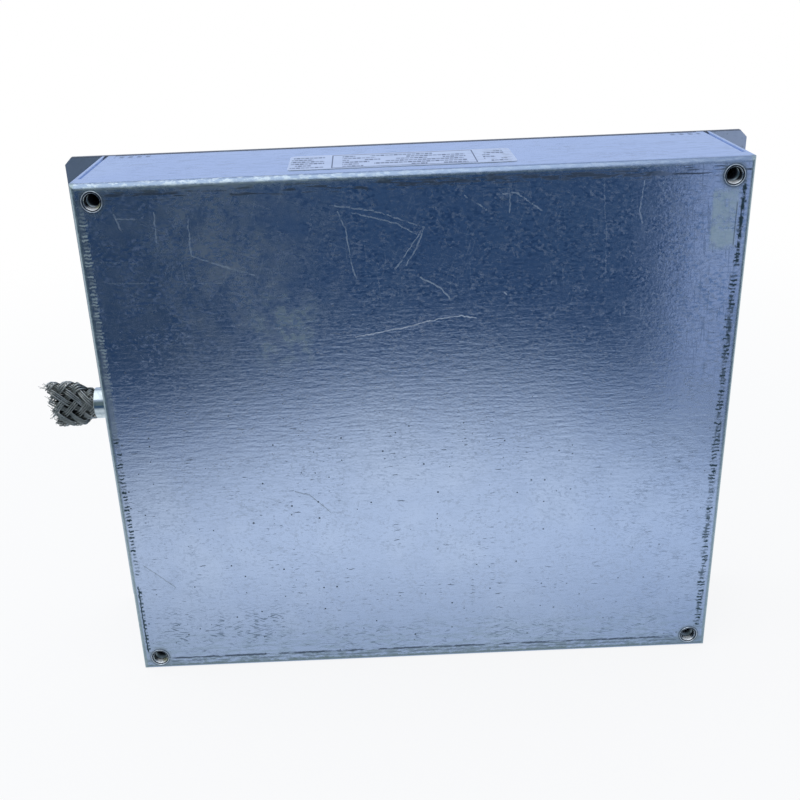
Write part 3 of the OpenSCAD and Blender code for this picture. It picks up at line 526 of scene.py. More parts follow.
scratchWear = {
    # scratches on the front, each a list of points as x and z
    "paleLines": [
        [(-72.3, 173.8), (-72.6, 161), (-66.7, 158.5), (-52.6, 153.6)],
        [(3, 167), (-6.2, 154.2)],
        [(3, 167), (0.4, 160.2), (-3.1, 154.9)],
        [(-26.7, 175.2), (-13.6, 173.2), (3, 167.1)],
        [(-20.2, 172.7), (-6.1, 168.8), (0.5, 164.9)],
        [(-24.6, 173.4), (-22.2, 167.3), (-21, 157.1), (-19.6, 151.3)],
        [(73.3, 179), (72.8, 172.7), (72.4, 169.4), (73.5, 165.4)],
        [(-95.6, 175.3), (-93.9, 169.7)],
        [(-94.8, 173.6), (-89.3, 173.4)],
        [(-82.8, 175.3), (-83.2, 165.4)],
        [(33.1, 176.5), (40.9, 171)],
        [(16.1, 176.6), (23.2, 171.7)],
        [(26.8, 176.6), (33.6, 176.6)],
        [(30.3, 178.2), (30.7, 170.6)],
    ],
    "faintLines": [
        [(60.7, 174.9), (61.9, 165.1), (62.5, 149.2)],
        [(-101, 153), (-85, 152.4)],
        [(-77, 152), (-62.4, 151.4)],
        [(-104, 160.2), (-91, 159.2)],
    ],
    "thickLines": [[(1.6, 150.7), (8, 147), (11.1, 143.3)]],
    "brightLines": [
        [(-20.5, 131.2), (-4.9, 133.6), (6.7, 136.1), (14.8, 137.1), (20, 136.1)],
        [(29.1, 144.6), (30.1, 143.4)],
    ],
    "darkLines": [
        [(-103.2, 46.4), (-92.5, 36.6)],
        [(-45.1, 74.2), (-40.1, 72.6), (-32.8, 65.3)],
    ],
    # distances from the line at which a scratch starts and is full
    "paleEdge": (0.30, 0.06),
    "faintEdge": (0.28, 0.06),
    "thickEdge": (0.36, 0.1),
    "brightEdge": (0.24, 0.04),
    "darkEdge": (0.3, 0.06),
    "paleShare": 1.4,
    "faintShare": 0.65,
    "thickShare": 1.5,
    "broken": (1.6, 2, 0.6, 13, 0.36, 0.52, 0.25, 1.0),
    "hairs": [
        (13.0, 0.42, 20, 0.45, 26),
        (11.0, 0.40, -34, 0.45, 27),
        (14.0, 0.42, 86, 0.45, 28),
        (9.0, 0.40, -70, 0.4, 29),
    ],
    "hairCrowd": (15.0, 2, 0.6, 18, 0.42, 0.60),
    "hairZ": (96, 150),
    "hairShare": 0.42,
    "pale": (0.6, (0.64, 0.71, 0.78), 0.45, 0.88),
    "bright": (0.8, (0.90, 0.93, 0.98), 0.55, 0.76),
    "greyStreaks": [(7.0, 0.5, 88, 0.7, 43), (5.0, 0.5, 4, 0.75, 44)],
    "greyX": (60, 82),
    "greyZ": (92, 130),
    "grey": (0.4, (0.36, 0.44, 0.56), 0.35),
    "dark": (0.5, zinc["worn"], 0.5),
}


def layScratches(finish, setup, face, flat):
    def lines(kind):
        return finish.ramp(finish.gapTo(setup[kind + "Lines"], flat), *setup[kind + "Edge"])

    def manyStreaks(kind):
        return finish.most(*[finish.streaks(*streaks) for streaks in setup[kind]])

    broken = finish.patch(*setup["broken"])
    pale = finish.times(lines("pale"), broken, setup["paleShare"])
    faint = finish.times(lines("faint"), broken, setup["faintShare"])
    thick = finish.times(lines("thick"), setup["thickShare"])
    upper = finish.ramp(finish.z, *setup["hairZ"])
    hairs = finish.times(manyStreaks("hairs"), finish.patch(*setup["hairCrowd"]), upper, setup["hairShare"])
    finish.layCoat(finish.times(finish.most(pale, faint, thick, hairs), face), *setup["pale"])
    finish.layCoat(finish.times(lines("bright"), face), *setup["bright"])
    grey = finish.times(manyStreaks("greyStreaks"), finish.ramp(finish.x, *setup["greyX"]))
    finish.layCoat(finish.times(grey, finish.ramp(finish.z, *setup["greyZ"]), face), *setup["grey"])
    finish.layCoat(finish.times(lines("dark"), face), *setup["dark"])


spotWear = {
    "pits": (4.8, 1.0, 1),  # spacing, stretch and seed
    "pitRadius": (0.62, 1.1, -0.05, 0.46),  # between which lots it grows, and from what to what
    "pitEdge": (-0.04, 0.10),
    "pitShare": 1.15,
    "nicks": (2.6, 7.0, 2),
    "nickRadius": (0.5, 1.0, -0.05, 0.22),
    "nickEdge": (-0.04, 0.12),
    "flecks": (2.4, 0.5, 0, 0.42, 30),
    "fleckCrowd": (22.0, 3, 0.6, 31, 0.42, 0.62, 0.15, 1.0),
    "fleckShare": 0.8,
    "lowZ": (128, 80, 0.35, 1.0),
    "calmX": (20, 60, 1.0, 0.55),
    "spot": (0.85, zinc["pit"], 0.55, 0.9),
}


def laySpots(finish, setup, face, waverZ):
    # scattered pits and short level nicks
    def scattered(kind, radius, edge, up):
        away, lot = finish.dots(finish.x, up, *setup[kind])
        return finish.ramp(finish.calc("SUBTRACT", finish.ramp(lot, *setup[radius]), away), *setup[edge])

    pit = finish.times(scattered("pits", "pitRadius", "pitEdge", finish.z), setup["pitShare"])
    nick = scattered("nicks", "nickRadius", "nickEdge", waverZ)
    fleck = finish.times(finish.streaks(*setup["flecks"]), finish.patch(*setup["fleckCrowd"]))
    fleck = finish.times(fleck, setup["fleckShare"])
    lowPart = finish.ramp(finish.z, *setup["lowZ"])
    calm = finish.ramp(finish.x, *setup["calmX"])
    finish.layCoat(finish.times(finish.most(pit, nick, fleck), lowPart, calm, face), *setup["spot"])


crossWear = {
    "streaks": [(5.0, 0.45, 22, 0.6, 33), (5.0, 0.45, -18, 0.6, 34), (3.4, 0.5, 3, 0.85, 35)],
    "dots": (1.1, 1, 0.6, 36, 0.66, 0.74),
    "crowd": (7.0, 3, 0.6, 23, 0.40, 0.58, 0.2, 1.0),
    "leftX": (-100, -46, 16),
    "leftZ": (8, 26, 10),
    "footX": (-40, 100, 24),
    "footZ": (5, 17, 7),
    "footShare": 0.8,
    "lowZ": (100, 60),
    "lowShare": 0.16,
    "rightX": (50, 90),
    "rightZ": (150, 120),
    "rightShare": 0.4,
    "smearZ": (24, 6),
    "smearPatch": ((9.0, 1.0, 1.2), 3, 0.7, 37, 0.44, 0.62),
    "smear": (0.5, (0.46, 0.55, 0.58), 0.3),
    "cross": (0.8, (0.22, 0.28, 0.34), 0.5, 0.95),
}


def layCrosses(finish, setup, face):
    # cross scratches low on the front, over a grey smear
    x, z = finish.x, finish.z
    marks = [finish.streaks(*streaks) for streaks in setup["streaks"]]
    cross = finish.most(*marks, finish.patch(*setup["dots"]))
    right = finish.times(finish.ramp(x, *setup["rightX"]), finish.ramp(z, *setup["rightZ"]))
    rubbed = finish.most(
        finish.area(x, setup["leftX"], z, setup["leftZ"]),
        finish.times(finish.area(x, setup["footX"], z, setup["footZ"]), setup["footShare"]),
        finish.times(finish.ramp(z, *setup["lowZ"]), setup["lowShare"]),
        finish.times(right, setup["rightShare"]),
    )
    smear = finish.times(finish.ramp(z, *setup["smearZ"]), finish.patch(*setup["smearPatch"]))
    finish.layCoat(finish.times(smear, face), *setup["smear"])
    finish.layCoat(finish.times(cross, rubbed, finish.patch(*setup["crowd"]), face), *setup["cross"])


columnWear = {
    # short level marks in columns: left, right, low, high, pitch and seed of each column
    "paleColumn": (-107.3, -104.2, 98, 178, 1.2, 5),
    "darkColumns": [
        (-107.2, -104.6, 42, 98, 1.4, 1),
        (-106.8, -105.1, 8, 37, 1.6, 2),
        (103.4, 106.5, 9, 148, 1.35, 3),
        (104.2, 106.6, 150, 178, 1.3, 4),
    ],
    "columnEdge": 2.0,
    "rowWaver": 2.4,
    "markHeight": (0.22, 0.70, 0.28),  # the band of a row that its mark fills
    "markWeight": (0.0, 0.6, 0.35, 1.0),
    "startShare": 0.4,  # of the column's width, in which a mark may start or end
    "endShare": 0.3,
    "startEdge": (-0.4, 0.3),
    "endEdge": (-0.2, 0.25),
    "lotSteps": (41.0, 17.0, 5.3),  # make other lots out of one: by seed, for the end, for the weight
    "rubX": (-107.6, -105.2, 1.0),
    "rubZ": (96, 179, 8),
    "rub": (0.5, (0.36, 0.41, 0.42), 0.4, 0.96),
    "paleZ": (96, 150, 0.25, 0.9),
    "pale": (1.0, (0.66, 0.76, 0.72), 0.45, 0.76),
    "stubX": (-106.6, -106.1, 0.3),
    "stubZ": (8, 37.5, 0.8),
    "upperX": (105.0, 106.0, 0.5),
    "upperZ": (151, 177, 1),
    "upperPatch": ((1.5, 1.0, 1.3), 3, 0.6, 40, 0.36, 0.48),
    "lowerX": (104.3, 106.2, 1.0),
    "lowerZ": (9, 140, 3),
    "lowerPatch": ((1.2, 1.0, 3.0), 3, 0.6, 39, 0.50, 0.58),
    "lowerShare": 0.7,
    "dark": (1.0, (0.06, 0.10, 0.11), 0.45, 0.94),
}


def tickColumn(finish, setup, dimple, column):
    # short level marks stacked in a column beside a bend, each with its own length and weight
    left, right, low, high, pitch, seed = column
    bySeed, forEnd, forWeight = setup["lotSteps"]
    row = finish.calc("DIVIDE", finish.calc("MULTIPLY_ADD", dimple, setup["rowWaver"], finish.z), pitch)
    lot = finish.chance(finish.calc("FLOOR", finish.calc("ADD", row, seed * bySeed)))
    other = finish.calc("FRACT", finish.calc("MULTIPLY", lot, forEnd))
    weight = finish.ramp(finish.calc("FRACT", finish.calc("MULTIPLY", lot, forWeight)), *setup["markWeight"])
    thick = finish.band(finish.calc("FRACT", row), *setup["markHeight"])
    start = finish.calc("MULTIPLY_ADD", lot, (right - left) * setup["startShare"], left)
    end = finish.calc("MULTIPLY_ADD", other, (left - right) * setup["endShare"], right)
    after = finish.ramp(finish.calc("SUBTRACT", finish.x, start), *setup["startEdge"])
    before = finish.ramp(finish.calc("SUBTRACT", end, finish.x), *setup["endEdge"])
    return finish.times(thick, after, before, weight, finish.band(finish.z, low, high, setup["columnEdge"]))


def layColumns(finish, setup, face, waverX, dimple):
    # rubbed columns beside the two end bends
    z = finish.z
    rub = finish.area(waverX, setup["rubX"], z, setup["rubZ"])
    finish.layCoat(finish.times(rub, face), *setup["rub"])
    pale = finish.times(tickColumn(finish, setup, dimple, setup["paleColumn"]), face)
    finish.layCoat(finish.times(pale, finish.ramp(z, *setup["paleZ"])), *setup["pale"])
    upper = finish.area(waverX, setup["upperX"], z, setup["upperZ"])
    lower = finish.area(waverX, setup["lowerX"], z, setup["lowerZ"])
    dark = finish.most(
        finish.area(waverX, setup["stubX"], z, setup["stubZ"]),
        finish.times(upper, finish.patch(*setup["upperPatch"])),
        finish.times(lower, finish.patch(*setup["lowerPatch"]), setup["lowerShare"]),
        *[tickColumn(finish, setup, dimple, column) for column in setup["darkColumns"]],
    )
    finish.layCoat(finish.times(dark, face), *setup["dark"])


edgeWear = {
    "uneven": ((6.0, 1.0, 1.0), 3, 0.6, 21, 0.38, 0.52),
    "waver": 0.7,
    "lineX": (-98, 98, 3.0),
    "lineZ": (4.5, 5.3, 0.35),
    "secondZ": (3.1, 3.6, 0.3),
    "secondShare": 0.55,
    "footZ": (5.2, 4.4),
    "footPatch": ((3.0, 0.9, 0.8), 3, 0.7, 22, 0.42, 0.56),
    "foot": (0.8, (0.36, 0.43, 0.45), 0.4),
    "sillWaver": 2.6,
    "sillZ": (2.6, 1.6),
    "sill": (0.85, (0.28, 0.34, 0.31), 0.42),
    "upperX": [(-100, -74, 3.0), (3, 15, 2.0), (33, 67, 2.0)],
    "upperZ": (180.8, 181.7, 0.4),
    "sootLeft": (-14, 6),
    "sootRight": (92, 70),
    "sootZ": (180.0, 182.4, 0.8),
    "sootPatch": ((8.0, 0.7, 0.6), 2, 0.6, 25, 0.46, 0.56),
    "sootShare": 0.9,
    "rubStreaks": (9.0, 0.75, 0, 1.15, 24),
    "rubZ": (179.4, 183.2, 1.2),
    "line": (0.9, (0.12, 0.15, 0.19), 0.5),
    "haloEdge": (5.2, 3.8),  # distances from the middle of a nut
    "haloDimple": (0.34, 0.56, 0.5, 1.0),
    "halo": (0.55, (0.40, 0.45, 0.46), 0.4, 0.95),
    "ringBand": (3.45, 3.85, 0.3),
    "ring": (0.6, zinc["pit"], 0.5),
}


def layEdges(finish, setup, face, dimple):
    # the dark lines and darker bands along the lower edge, the upper bend line and the marks round the nuts
    x, z = finish.x, finish.z
    uneven = finish.patch(*setup["uneven"])
    waver = finish.waver(z, dimple, setup["waver"])
    lower = finish.times(finish.area(waver, setup["lineZ"], x, setup["lineX"]), uneven)
    second = finish.times(finish.area(waver, setup["secondZ"], x, setup["lineX"]), setup["secondShare"])
    foot = finish.times(finish.ramp(z, *setup["footZ"]), face)
    finish.layCoat(finish.times(foot, finish.patch(*setup["footPatch"])), *setup["foot"])
    sill = finish.ramp(finish.waver(z, dimple, setup["sillWaver"]), *setup["sillZ"])
    finish.layCoat(finish.times(sill, face), *setup["sill"])
    upper = finish.most(*[finish.band(x, *span) for span in setup["upperX"]])
    upper = finish.times(upper, finish.band(waver, *setup["upperZ"]))
    soot = finish.times(finish.ramp(x, *setup["sootLeft"]), finish.ramp(x, *setup["sootRight"]))
    soot = finish.times(soot, finish.band(z, *setup["sootZ"]), finish.patch(*setup["sootPatch"]))
    rubbed = finish.times(finish.streaks(*setup["rubStreaks"]), finish.band(z, *setup["rubZ"]))
    upper = finish.most(upper, rubbed, finish.times(soot, setup["sootShare"]))
    line = finish.most(upper, finish.most(lower, second))
    finish.layCoat(finish.times(line, uneven, face), *setup["line"])
    away = besideNuts(finish)[2]
    halo = finish.times(finish.ramp(away, *setup["haloEdge"]), finish.ramp(dimple, *setup["haloDimple"]))
    finish.layCoat(finish.times(halo, face), *setup["halo"])
    finish.layCoat(finish.times(finish.band(away, *setup["ringBand"]), face), *setup["ring"])


glueWear = {
    "glueX": (95.8, 104, 1.4),
    "glueZ": (156, 175, 2.4),
    "thin": (3.0, 4, 0.7, 42, 0.34, 0.58, 0.3, 1.0),
    "glue": (0.62, (0.68, 0.80, 0.74), 0.5, 0.76),
    "scoreX": (103.5, 103.85, 0.2),
    "scoreZ": (157, 171, 1.0),
    "score": (0.7, (0.2, 0.25, 0.3), 0.5),
}


def layGlue(finish, setup, face, waverX, waverZ):
    # old glue with a line scored beside it
    glue = finish.area(waverX, setup["glueX"], waverZ, setup["glueZ"])
    finish.layCoat(finish.times(glue, finish.patch(*setup["thin"]), face), *setup["glue"])
    score = finish.area(finish.x, setup["scoreX"], finish.z, setup["scoreZ"])
    finish.layCoat(finish.times(score, face), *setup["score"])


bendWearAndPaintedLight = {
    "rubPatch": ((2.6, 1.1, 1.1), 4, 0.75, 41, 0.47, 0.58),
    "topDepth": (4.0, 1.5),  # behind the front
    "topZ": (-2.2, -1.2),  # under the top
    # painted shade on the top bend, which dims the lamp's reflection there
    "top": (1.0, (0.34, 0.42, 0.54), 0.28),
    "rubX": (30, -70, 0.15, 0.8),
    # pale rubbing, partly real scuffs and partly a painted highlight that grows to the left
    "rub": (1.0, (0.86, 0.93, 0.94), 0.4, 0.7),
    "underZ": (-2.9, -0.9),
    "underEdge": 2.4,
    "underX": (30, -50, 0.1, 1.0),
    "underRub": (0.0, 1.0, 0.4, 0.75),
    # a greenish band under the top bend, partly a painted reflection, stronger to the left
    "under": (1.0, (0.50, 0.59, 0.57), 0.4, 0.87),
    "endX": (106.8, 107.6),
    "endDepth": (5, 2),
    # dull green on the end bends, partly a painted darker reflection
    "end": (0.8, (0.40, 0.48, 0.43), 0.38),
    # pale rubbed patches, partly a painted highlight
    "endRubAndHighlight": (0.5, (0.62, 0.70, 0.66), 0.4, 0.9),
}


def layBends(finish, setup):
    # pale rubbing along the top bend, partly a painted highlight stronger to the left, over painted shade
    # that dims the lamp's reflection, with a greenish band below, partly a painted reflection; dull green
    # along the end bends, partly a painted darker reflection, with pale patches that are partly a painted
    # highlight
    x, y, z = finish.x, finish.y, finish.z
    front = finish.ramp(y, *shifted(frontY, setup["topDepth"]))
    rub = finish.patch(*setup["rubPatch"])
    top = finish.times(finish.ramp(z, *shifted(topZ, setup["topZ"])), front)
    # painted shade along the top bend
    finish.layCoat(top, *setup["top"])
    # rubbing that is partly a painted highlight, stronger to the left
    finish.layCoat(finish.times(top, rub, finish.ramp(x, *setup["rubX"])), *setup["rub"])
    under = finish.band(z, *shifted(topZ, setup["underZ"]), setup["underEdge"])
    under = finish.times(under, front, finish.ramp(x, *setup["underX"]))
    # a greenish band, partly a painted reflection
    finish.layCoat(finish.times(under, finish.ramp(rub, *setup["underRub"])), *setup["under"])
    end = finish.ramp(finish.calc("ABSOLUTE", x), *setup["endX"])
    end = finish.times(end, finish.ramp(y, *shifted(frontY, setup["endDepth"])))
    # dull green, partly a painted darker reflection, with pale patches that are partly a painted highlight
    finish.layCoat(end, *setup["end"])
    finish.layCoat(finish.times(end, rub), *setup["endRubAndHighlight"])


roofWearAndShade = {
    "smudge": ((7.0, 4.0, 4.0), 3, 0.6, 51, 0.54, 0.70),
    "spots": [((46, 58, 6), (-4, 8, 6)), ((56, 84, 8), (-20, -9, 5))],  # bands of x and y
    "spotPatch": (2.6, 3, 0.6, 52, 0.44, 0.6),
    "soiled": (0.3, (0.46, 0.48, 0.50), 0.4),
    "scuffs": (6.0, 0.9, 0, 0.7, 53),
    "scuffed": (0.4, (0.40, 0.46, 0.54), 0.4),
    "dashX": [(-103.6, -90.3, 0.6), (92.9, 104.1, 0.6)],
    "dashY": (19.4, 22.6, 0.5),
    "dashPitch": 3.1,
    "dashLength": (0.2, 0.7, 0.2),
    "dash": (0.75, (0.22, 0.25, 0.30), 0.4),
    # painted shade where the upper wall meets the base plate
    "backShadeY": (24.3, 24.9),
    "back": (0.7, (0.20, 0.20, 0.20), 0.5),
}


def layRoof(finish, setup, roof):
    # smudges and fine scratches on the upper wall, worn dashes at its ends and painted shade along its back
    # edge, where it meets the base plate
    x, y = finish.x, finish.y
    smudge = finish.patch(*setup["smudge"])
    spots = finish.most(*[finish.area(x, across, y, along) for across, along in setup["spots"]])
    spots = finish.times(spots, finish.patch(*setup["spotPatch"]))
    finish.layCoat(finish.times(finish.most(smudge, spots), roof), *setup["soiled"])
    finish.layCoat(finish.times(finish.streaks(*setup["scuffs"]), roof), *setup["scuffed"])
    ends = finish.most(*[finish.band(x, *span) for span in setup["dashX"]])
    dashes = finish.calc("FRACT", finish.calc("DIVIDE", x, setup["dashPitch"]))
    dashes = finish.band(dashes, *setup["dashLength"])
    finish.layCoat(finish.times(ends, dashes, finish.band(y, *setup["dashY"]), roof), *setup["dash"])
    # painted shade along the back edge, in the gap to the base plate
    finish.layCoat(finish.times(finish.ramp(y, *setup["backShadeY"]), roof), *setup["back"])


def caseFinish(setup):
    finish = Finish("caseZinc", setup["color"], setup["rough"], setup["metal"])
    layZinc(finish, setup)
    face = finish.ramp(finish.y, *shifted(frontY, setup["faceDepth"]))
    roof = finish.ramp(finish.z, *shifted(topZ, setup["roofDepth"]))
    dimple, other = [finish.noise(*setup["dimple"], seed) for seed in setup["dimpleSeeds"]]
    waverX = finish.waver(finish.x, dimple, setup["waver"])
    waverZ = finish.waver(finish.z, other, setup["waver"])
    layHaze(finish, hazeAndPaintedShade, face)
    layScratches(finish, scratchWear, face, finish.plane(waverX, waverZ))
    laySpots(finish, spotWear, face, waverZ)
    layCrosses(finish, crossWear, face)
    layColumns(finish, columnWear, face, waverX, dimple)
    layEdges(finish, edgeWear, face, dimple)
    layGlue(finish, glueWear, face, waverX, waverZ)
    layBends(finish, bendWearAndPaintedLight)
    layRoof(finish, roofWearAndShade, roof)
    return finish.done()


plateZinc = dict(
    zinc, color=(0.70, 0.73, 0.78), pale=(0.76, 0.79, 0.83), rough=0.3, metal=0.92, seed=3,
    rimZ=(-0.5, -0.2), rimLevels=(0.0, 0.85), rim=(1.0, (0.15, 0.145, 0.14), 0.5),
    stain=(9.0, 4, 0.65), stainLevels=(0.55, 0.72), stained=(0.4, (0.46, 0.50, 0.52), 0.42),
    pits=(0.9, 3, 0.6), pitLevels=(0.62, 0.70), pitted=(0.5, zinc["worn"], 0.55),
)
screwZinc = dict(plateZinc, color=(0.50, 0.52, 0.53), pale=(0.60, 0.62, 0.62), metal=1.0, seed=5)


def plainZinc(name, setup):
    finish = Finish(name, setup["color"], setup["rough"], setup["metal"])
    seed = setup["seed"]
    layZinc(finish, setup, seed)
    rim = finish.ramp(finish.z, *shifted(topZ, setup["rimZ"]), *setup["rimLevels"])
    finish.layCoat(rim, *setup["rim"])
    stain = finish.noise(*setup["stain"], seed + 6)
    finish.layCoat(finish.ramp(stain, *setup["stainLevels"]), *setup["stained"])
    pits = finish.noise(*setup["pits"], seed + 7)
    finish.layCoat(finish.ramp(pits, *setup["pitLevels"]), *setup["pitted"])
    return finish.done()


driveNut = {
    "ringPoints": 64,
    # radius and depth behind the face at each step of the turned shape
    "steps": [
        (3.1, 12), (3.1, 4), (3.9, 3), (3.9, 2), (3.1, 1.1), (3.1, 0.02), (3.36, 0), (3.44, -0.08),
        (3.42, -0.22), (3.36, -0.3), (3.28, -0.3), (3.20, -0.22), (3.14, -0.05), (3.05, 0.5), (2.84, 0.5),
        (2.78, 0.02), (2.72, -0.04), (2.64, 0.02), (2.42, 0.4), (2.14, 1.9), (2.12, 2.2), (2.5, 2.6),
        (2.5, 12),
    ],
    "widest": 3.9,
    "proud": 0.3,
    "smoothAngle": 40,  # degrees
    "threadPitch": 0.8,
    "threadStart": 2.6,
    "threadTurns": 11,
    "threadSteps": 40,
    "threadSize": 0.43,
    "threadRadius": 2.55,
    # the finish: radii are from the nut's middle, depths from the front and heights from the middle
    "color": (0.50, 0.54, 0.58),
    "rough": 0.24,
    "grain": ((0.5, 2.5, 0.5), 3, 0.6, 61),
    "grainDepth": 0.004,
    "dirtPatch": (2.4, 3, 0.6, 62, 0.46, 0.64),
    "dirt": (0.5, (0.30, 0.33, 0.34), 0.4),
    # painted highlight on the rim
    "rimRadius": (3.12, 3.2),
    "rimDepth": (1.6, 1.2),
    "rimDirt": (1.0, 0.0, 0.5, 1.0),
    "rim": (0.8, (0.86, 0.90, 0.90), 0.3, 0.7),
    # painted shade in the groove
    "grooveRadius": (2.84, 3.08, 0.08),
    "groove": (1.0, (0.08, 0.09, 0.10), 0.5),
    # painted highlight low in the mouth
    "mouthRadius": (2.1, 2.84, 0.1),
    "mouthDepth": (2.4, 2.0),
    "lowHeight": (-1.2, -2.3),
    "low": (1.0, (0.96, 0.97, 0.95), 0.3, 0.35),
    # a yellow tint, partly real and partly part of the painted highlight
    "yellowX": (-60, -100),
    "yellowHeight": (-2.2, -0.6, 0.6),
    "yellowSide": (-0.2, -0.8),
    "yellow": (0.7, (0.76, 0.74, 0.42), 0.3, 0.7),
    # painted shade in the bore, near black deepest in
    "boreDepth": (2.2, 3.0),
    "bore": (0.6, (0.34, 0.38, 0.34), 0.4),
    "deepDepth": (3.6, 6.0),
    "deepShade": (0.95, (0.012, 0.014, 0.030), 0.6, 0.4),
}


def besideNuts(finish):
    # how far a point is from the middle of the nearest nut: outwards, outwards in height and in all,
    # and its height over the middle of the case
    low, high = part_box("drive_nuts")
    middleZ = (low.z + high.z) * 500
    nutX = (high.x - low.x) * 500 - driveNut["widest"]
    nutZ = (high.z - low.z) * 500 - driveNut["widest"]
    across = finish.calc("SUBTRACT", finish.calc("ABSOLUTE", finish.x), nutX)
    upward = finish.calc("SUBTRACT", finish.z, middleZ)
    beyond = finish.calc("SUBTRACT", finish.calc("ABSOLUTE", upward), nutZ)
    away = finish.vectors("LENGTH", {0: finish.plane(across, beyond)})
    return across, beyond, away, upward


def nutFinish(setup):
    # painted highlights on the rims with painted shade in the groove between them, a painted highlight low
    # in the mouth with a yellow tint that is partly real, and painted shade in the bore
    finish = Finish("nutSteel", setup["color"], setup["rough"])
    finish.relief(finish.noise(*setup["grain"]), setup["grainDepth"])
    dirt = finish.patch(*setup["dirtPatch"])
    finish.layCoat(dirt, *setup["dirt"])
    across, beyond, away, upward = besideNuts(finish)
    rise = finish.times(beyond, finish.calc("SIGN", upward))

    def depth(name):
        return finish.ramp(finish.y, *shifted(frontY, setup[name]))

    shallow = depth("rimDepth")
    # painted highlight on the rim
    rim = finish.times(finish.ramp(away, *setup["rimRadius"]), shallow, finish.ramp(dirt, *setup["rimDirt"]))
    finish.layCoat(rim, *setup["rim"])
    # painted shade in the groove
    finish.layCoat(finish.times(finish.band(away, *setup["grooveRadius"]), shallow), *setup["groove"])
    # painted highlight low in the mouth
    low = finish.ramp(rise, *setup["lowHeight"])
    mouth = finish.times(finish.band(away, *setup["mouthRadius"]), depth("mouthDepth"))
    finish.layCoat(finish.times(mouth, low), *setup["low"])
    # yellow tint, partly real and partly painted highlight
    yellow = finish.times(finish.ramp(finish.x, *setup["yellowX"]), mouth)
    yellow = finish.times(yellow, finish.band(rise, *setup["yellowHeight"]))
    yellow = finish.times(yellow, finish.ramp(across, *setup["yellowSide"]))
    finish.layCoat(yellow, *setup["yellow"])
    # painted shade in the bore, darkest deep in
    finish.layCoat(depth("boreDepth"), *setup["bore"])
    finish.layCoat(depth("deepDepth"), *setup["deepShade"])
    return finish.done()


label = {
    "film": (0.86, 0.90, 0.97),
    "rough": 0.34,
    "metal": 0.86,
    "cloudPatch": (9.0, 3, 0.6, 71, 0.4, 0.65),
    "cloud": (0.3, (0.68, 0.73, 0.82), 0.4),
    "print": (0.95, (0.13, 0.15, 0.21), 0.4, 0.9),
    "margin": 1.1,
    "line": 0.4,
    "sideEdge": 0.1,
    "endEdge": 0.2,
    "dividers": (-26.0, 21.5),
    "columns": [(-39.5, -28.5, 0.3), (-22.5, 18.5, 0.3), (24.0, 31.5, 0.3)],
    "inset": 1.2,  # of the rows in the border
    "rowPitch": 3.6,
    "rowFill": (0.30, 0.88, 0.12),
    "markLength": 1.5,
    "markFill": (0.06, 0.92, 0.12),
    "markWeight": (0.1, 0.9, 0.6, 1.0),
    "wordLength": 5.2,
    "wordGaps": (0.26, 0.30),
    "rowShifts": (13.7, 7.3),  # move the marks and words of each row
    "smudgeX": (12, 32),
    "smudgePatch": (3.5, 3, 0.6, 72, 0.45, 0.65),
    "smudge": (0.5, (0.48, 0.50, 0.52), 0.45),
}


def labelFinish(setup):
    # rows of plain marks stand for the print
    finish = Finish("labelFilm", setup["film"], setup["rough"], setup["metal"])
    x, y = finish.x, finish.y
    finish.layCoat(finish.patch(*setup["cloudPatch"]), *setup["cloud"])
    low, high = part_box("rating_label")
    front = low.y * 1000 + setup["margin"]
    back = high.y * 1000 - setup["margin"]
    left, right = setup["dividers"]
    line, inset = setup["line"], setup["inset"]
    sideEdge, endEdge = setup["sideEdge"], setup["endEdge"]
    outer = finish.area(x, (left, right, sideEdge), y, (front, back, endEdge))
    inner = (left + line, right - line, sideEdge)
    inner = finish.area(x, inner, y, (front + 2 * line, back - 2 * line, endEdge))
    border = finish.calc("SUBTRACT", outer, inner)
    row = finish.calc("DIVIDE", finish.calc("SUBTRACT", y, front), setup["rowPitch"])
    number = finish.calc("FLOOR", row)
    markShift, wordShift = setup["rowShifts"]
    step = finish.calc("MULTIPLY_ADD", number, markShift, finish.calc("DIVIDE", x, setup["markLength"]))
    word = finish.calc("MULTIPLY_ADD", number, wordShift, finish.calc("DIVIDE", x, setup["wordLength"]))
    lot = finish.chance(finish.calc("FLOOR", step))
    present = finish.ramp(finish.chance(finish.calc("FLOOR", word)), *setup["wordGaps"])
    mark = finish.band(finish.calc("FRACT", step), *setup["markFill"])
    mark = finish.times(mark, finish.ramp(lot, *setup["markWeight"]), present)
    strip = finish.band(finish.calc("FRACT", row), *setup["rowFill"])
    columns = finish.most(*[finish.band(x, *column) for column in setup["columns"]])
    rows = finish.times(strip, mark, columns, finish.band(y, front + inset, back - inset, endEdge))
    finish.layCoat(finish.most(border, rows), *setup["print"])
    smudge = finish.times(finish.ramp(x, *setup["smudgeX"]), finish.patch(*setup["smudgePatch"]))
    finish.layCoat(smudge, *setup["smudge"])
    return finish.done()


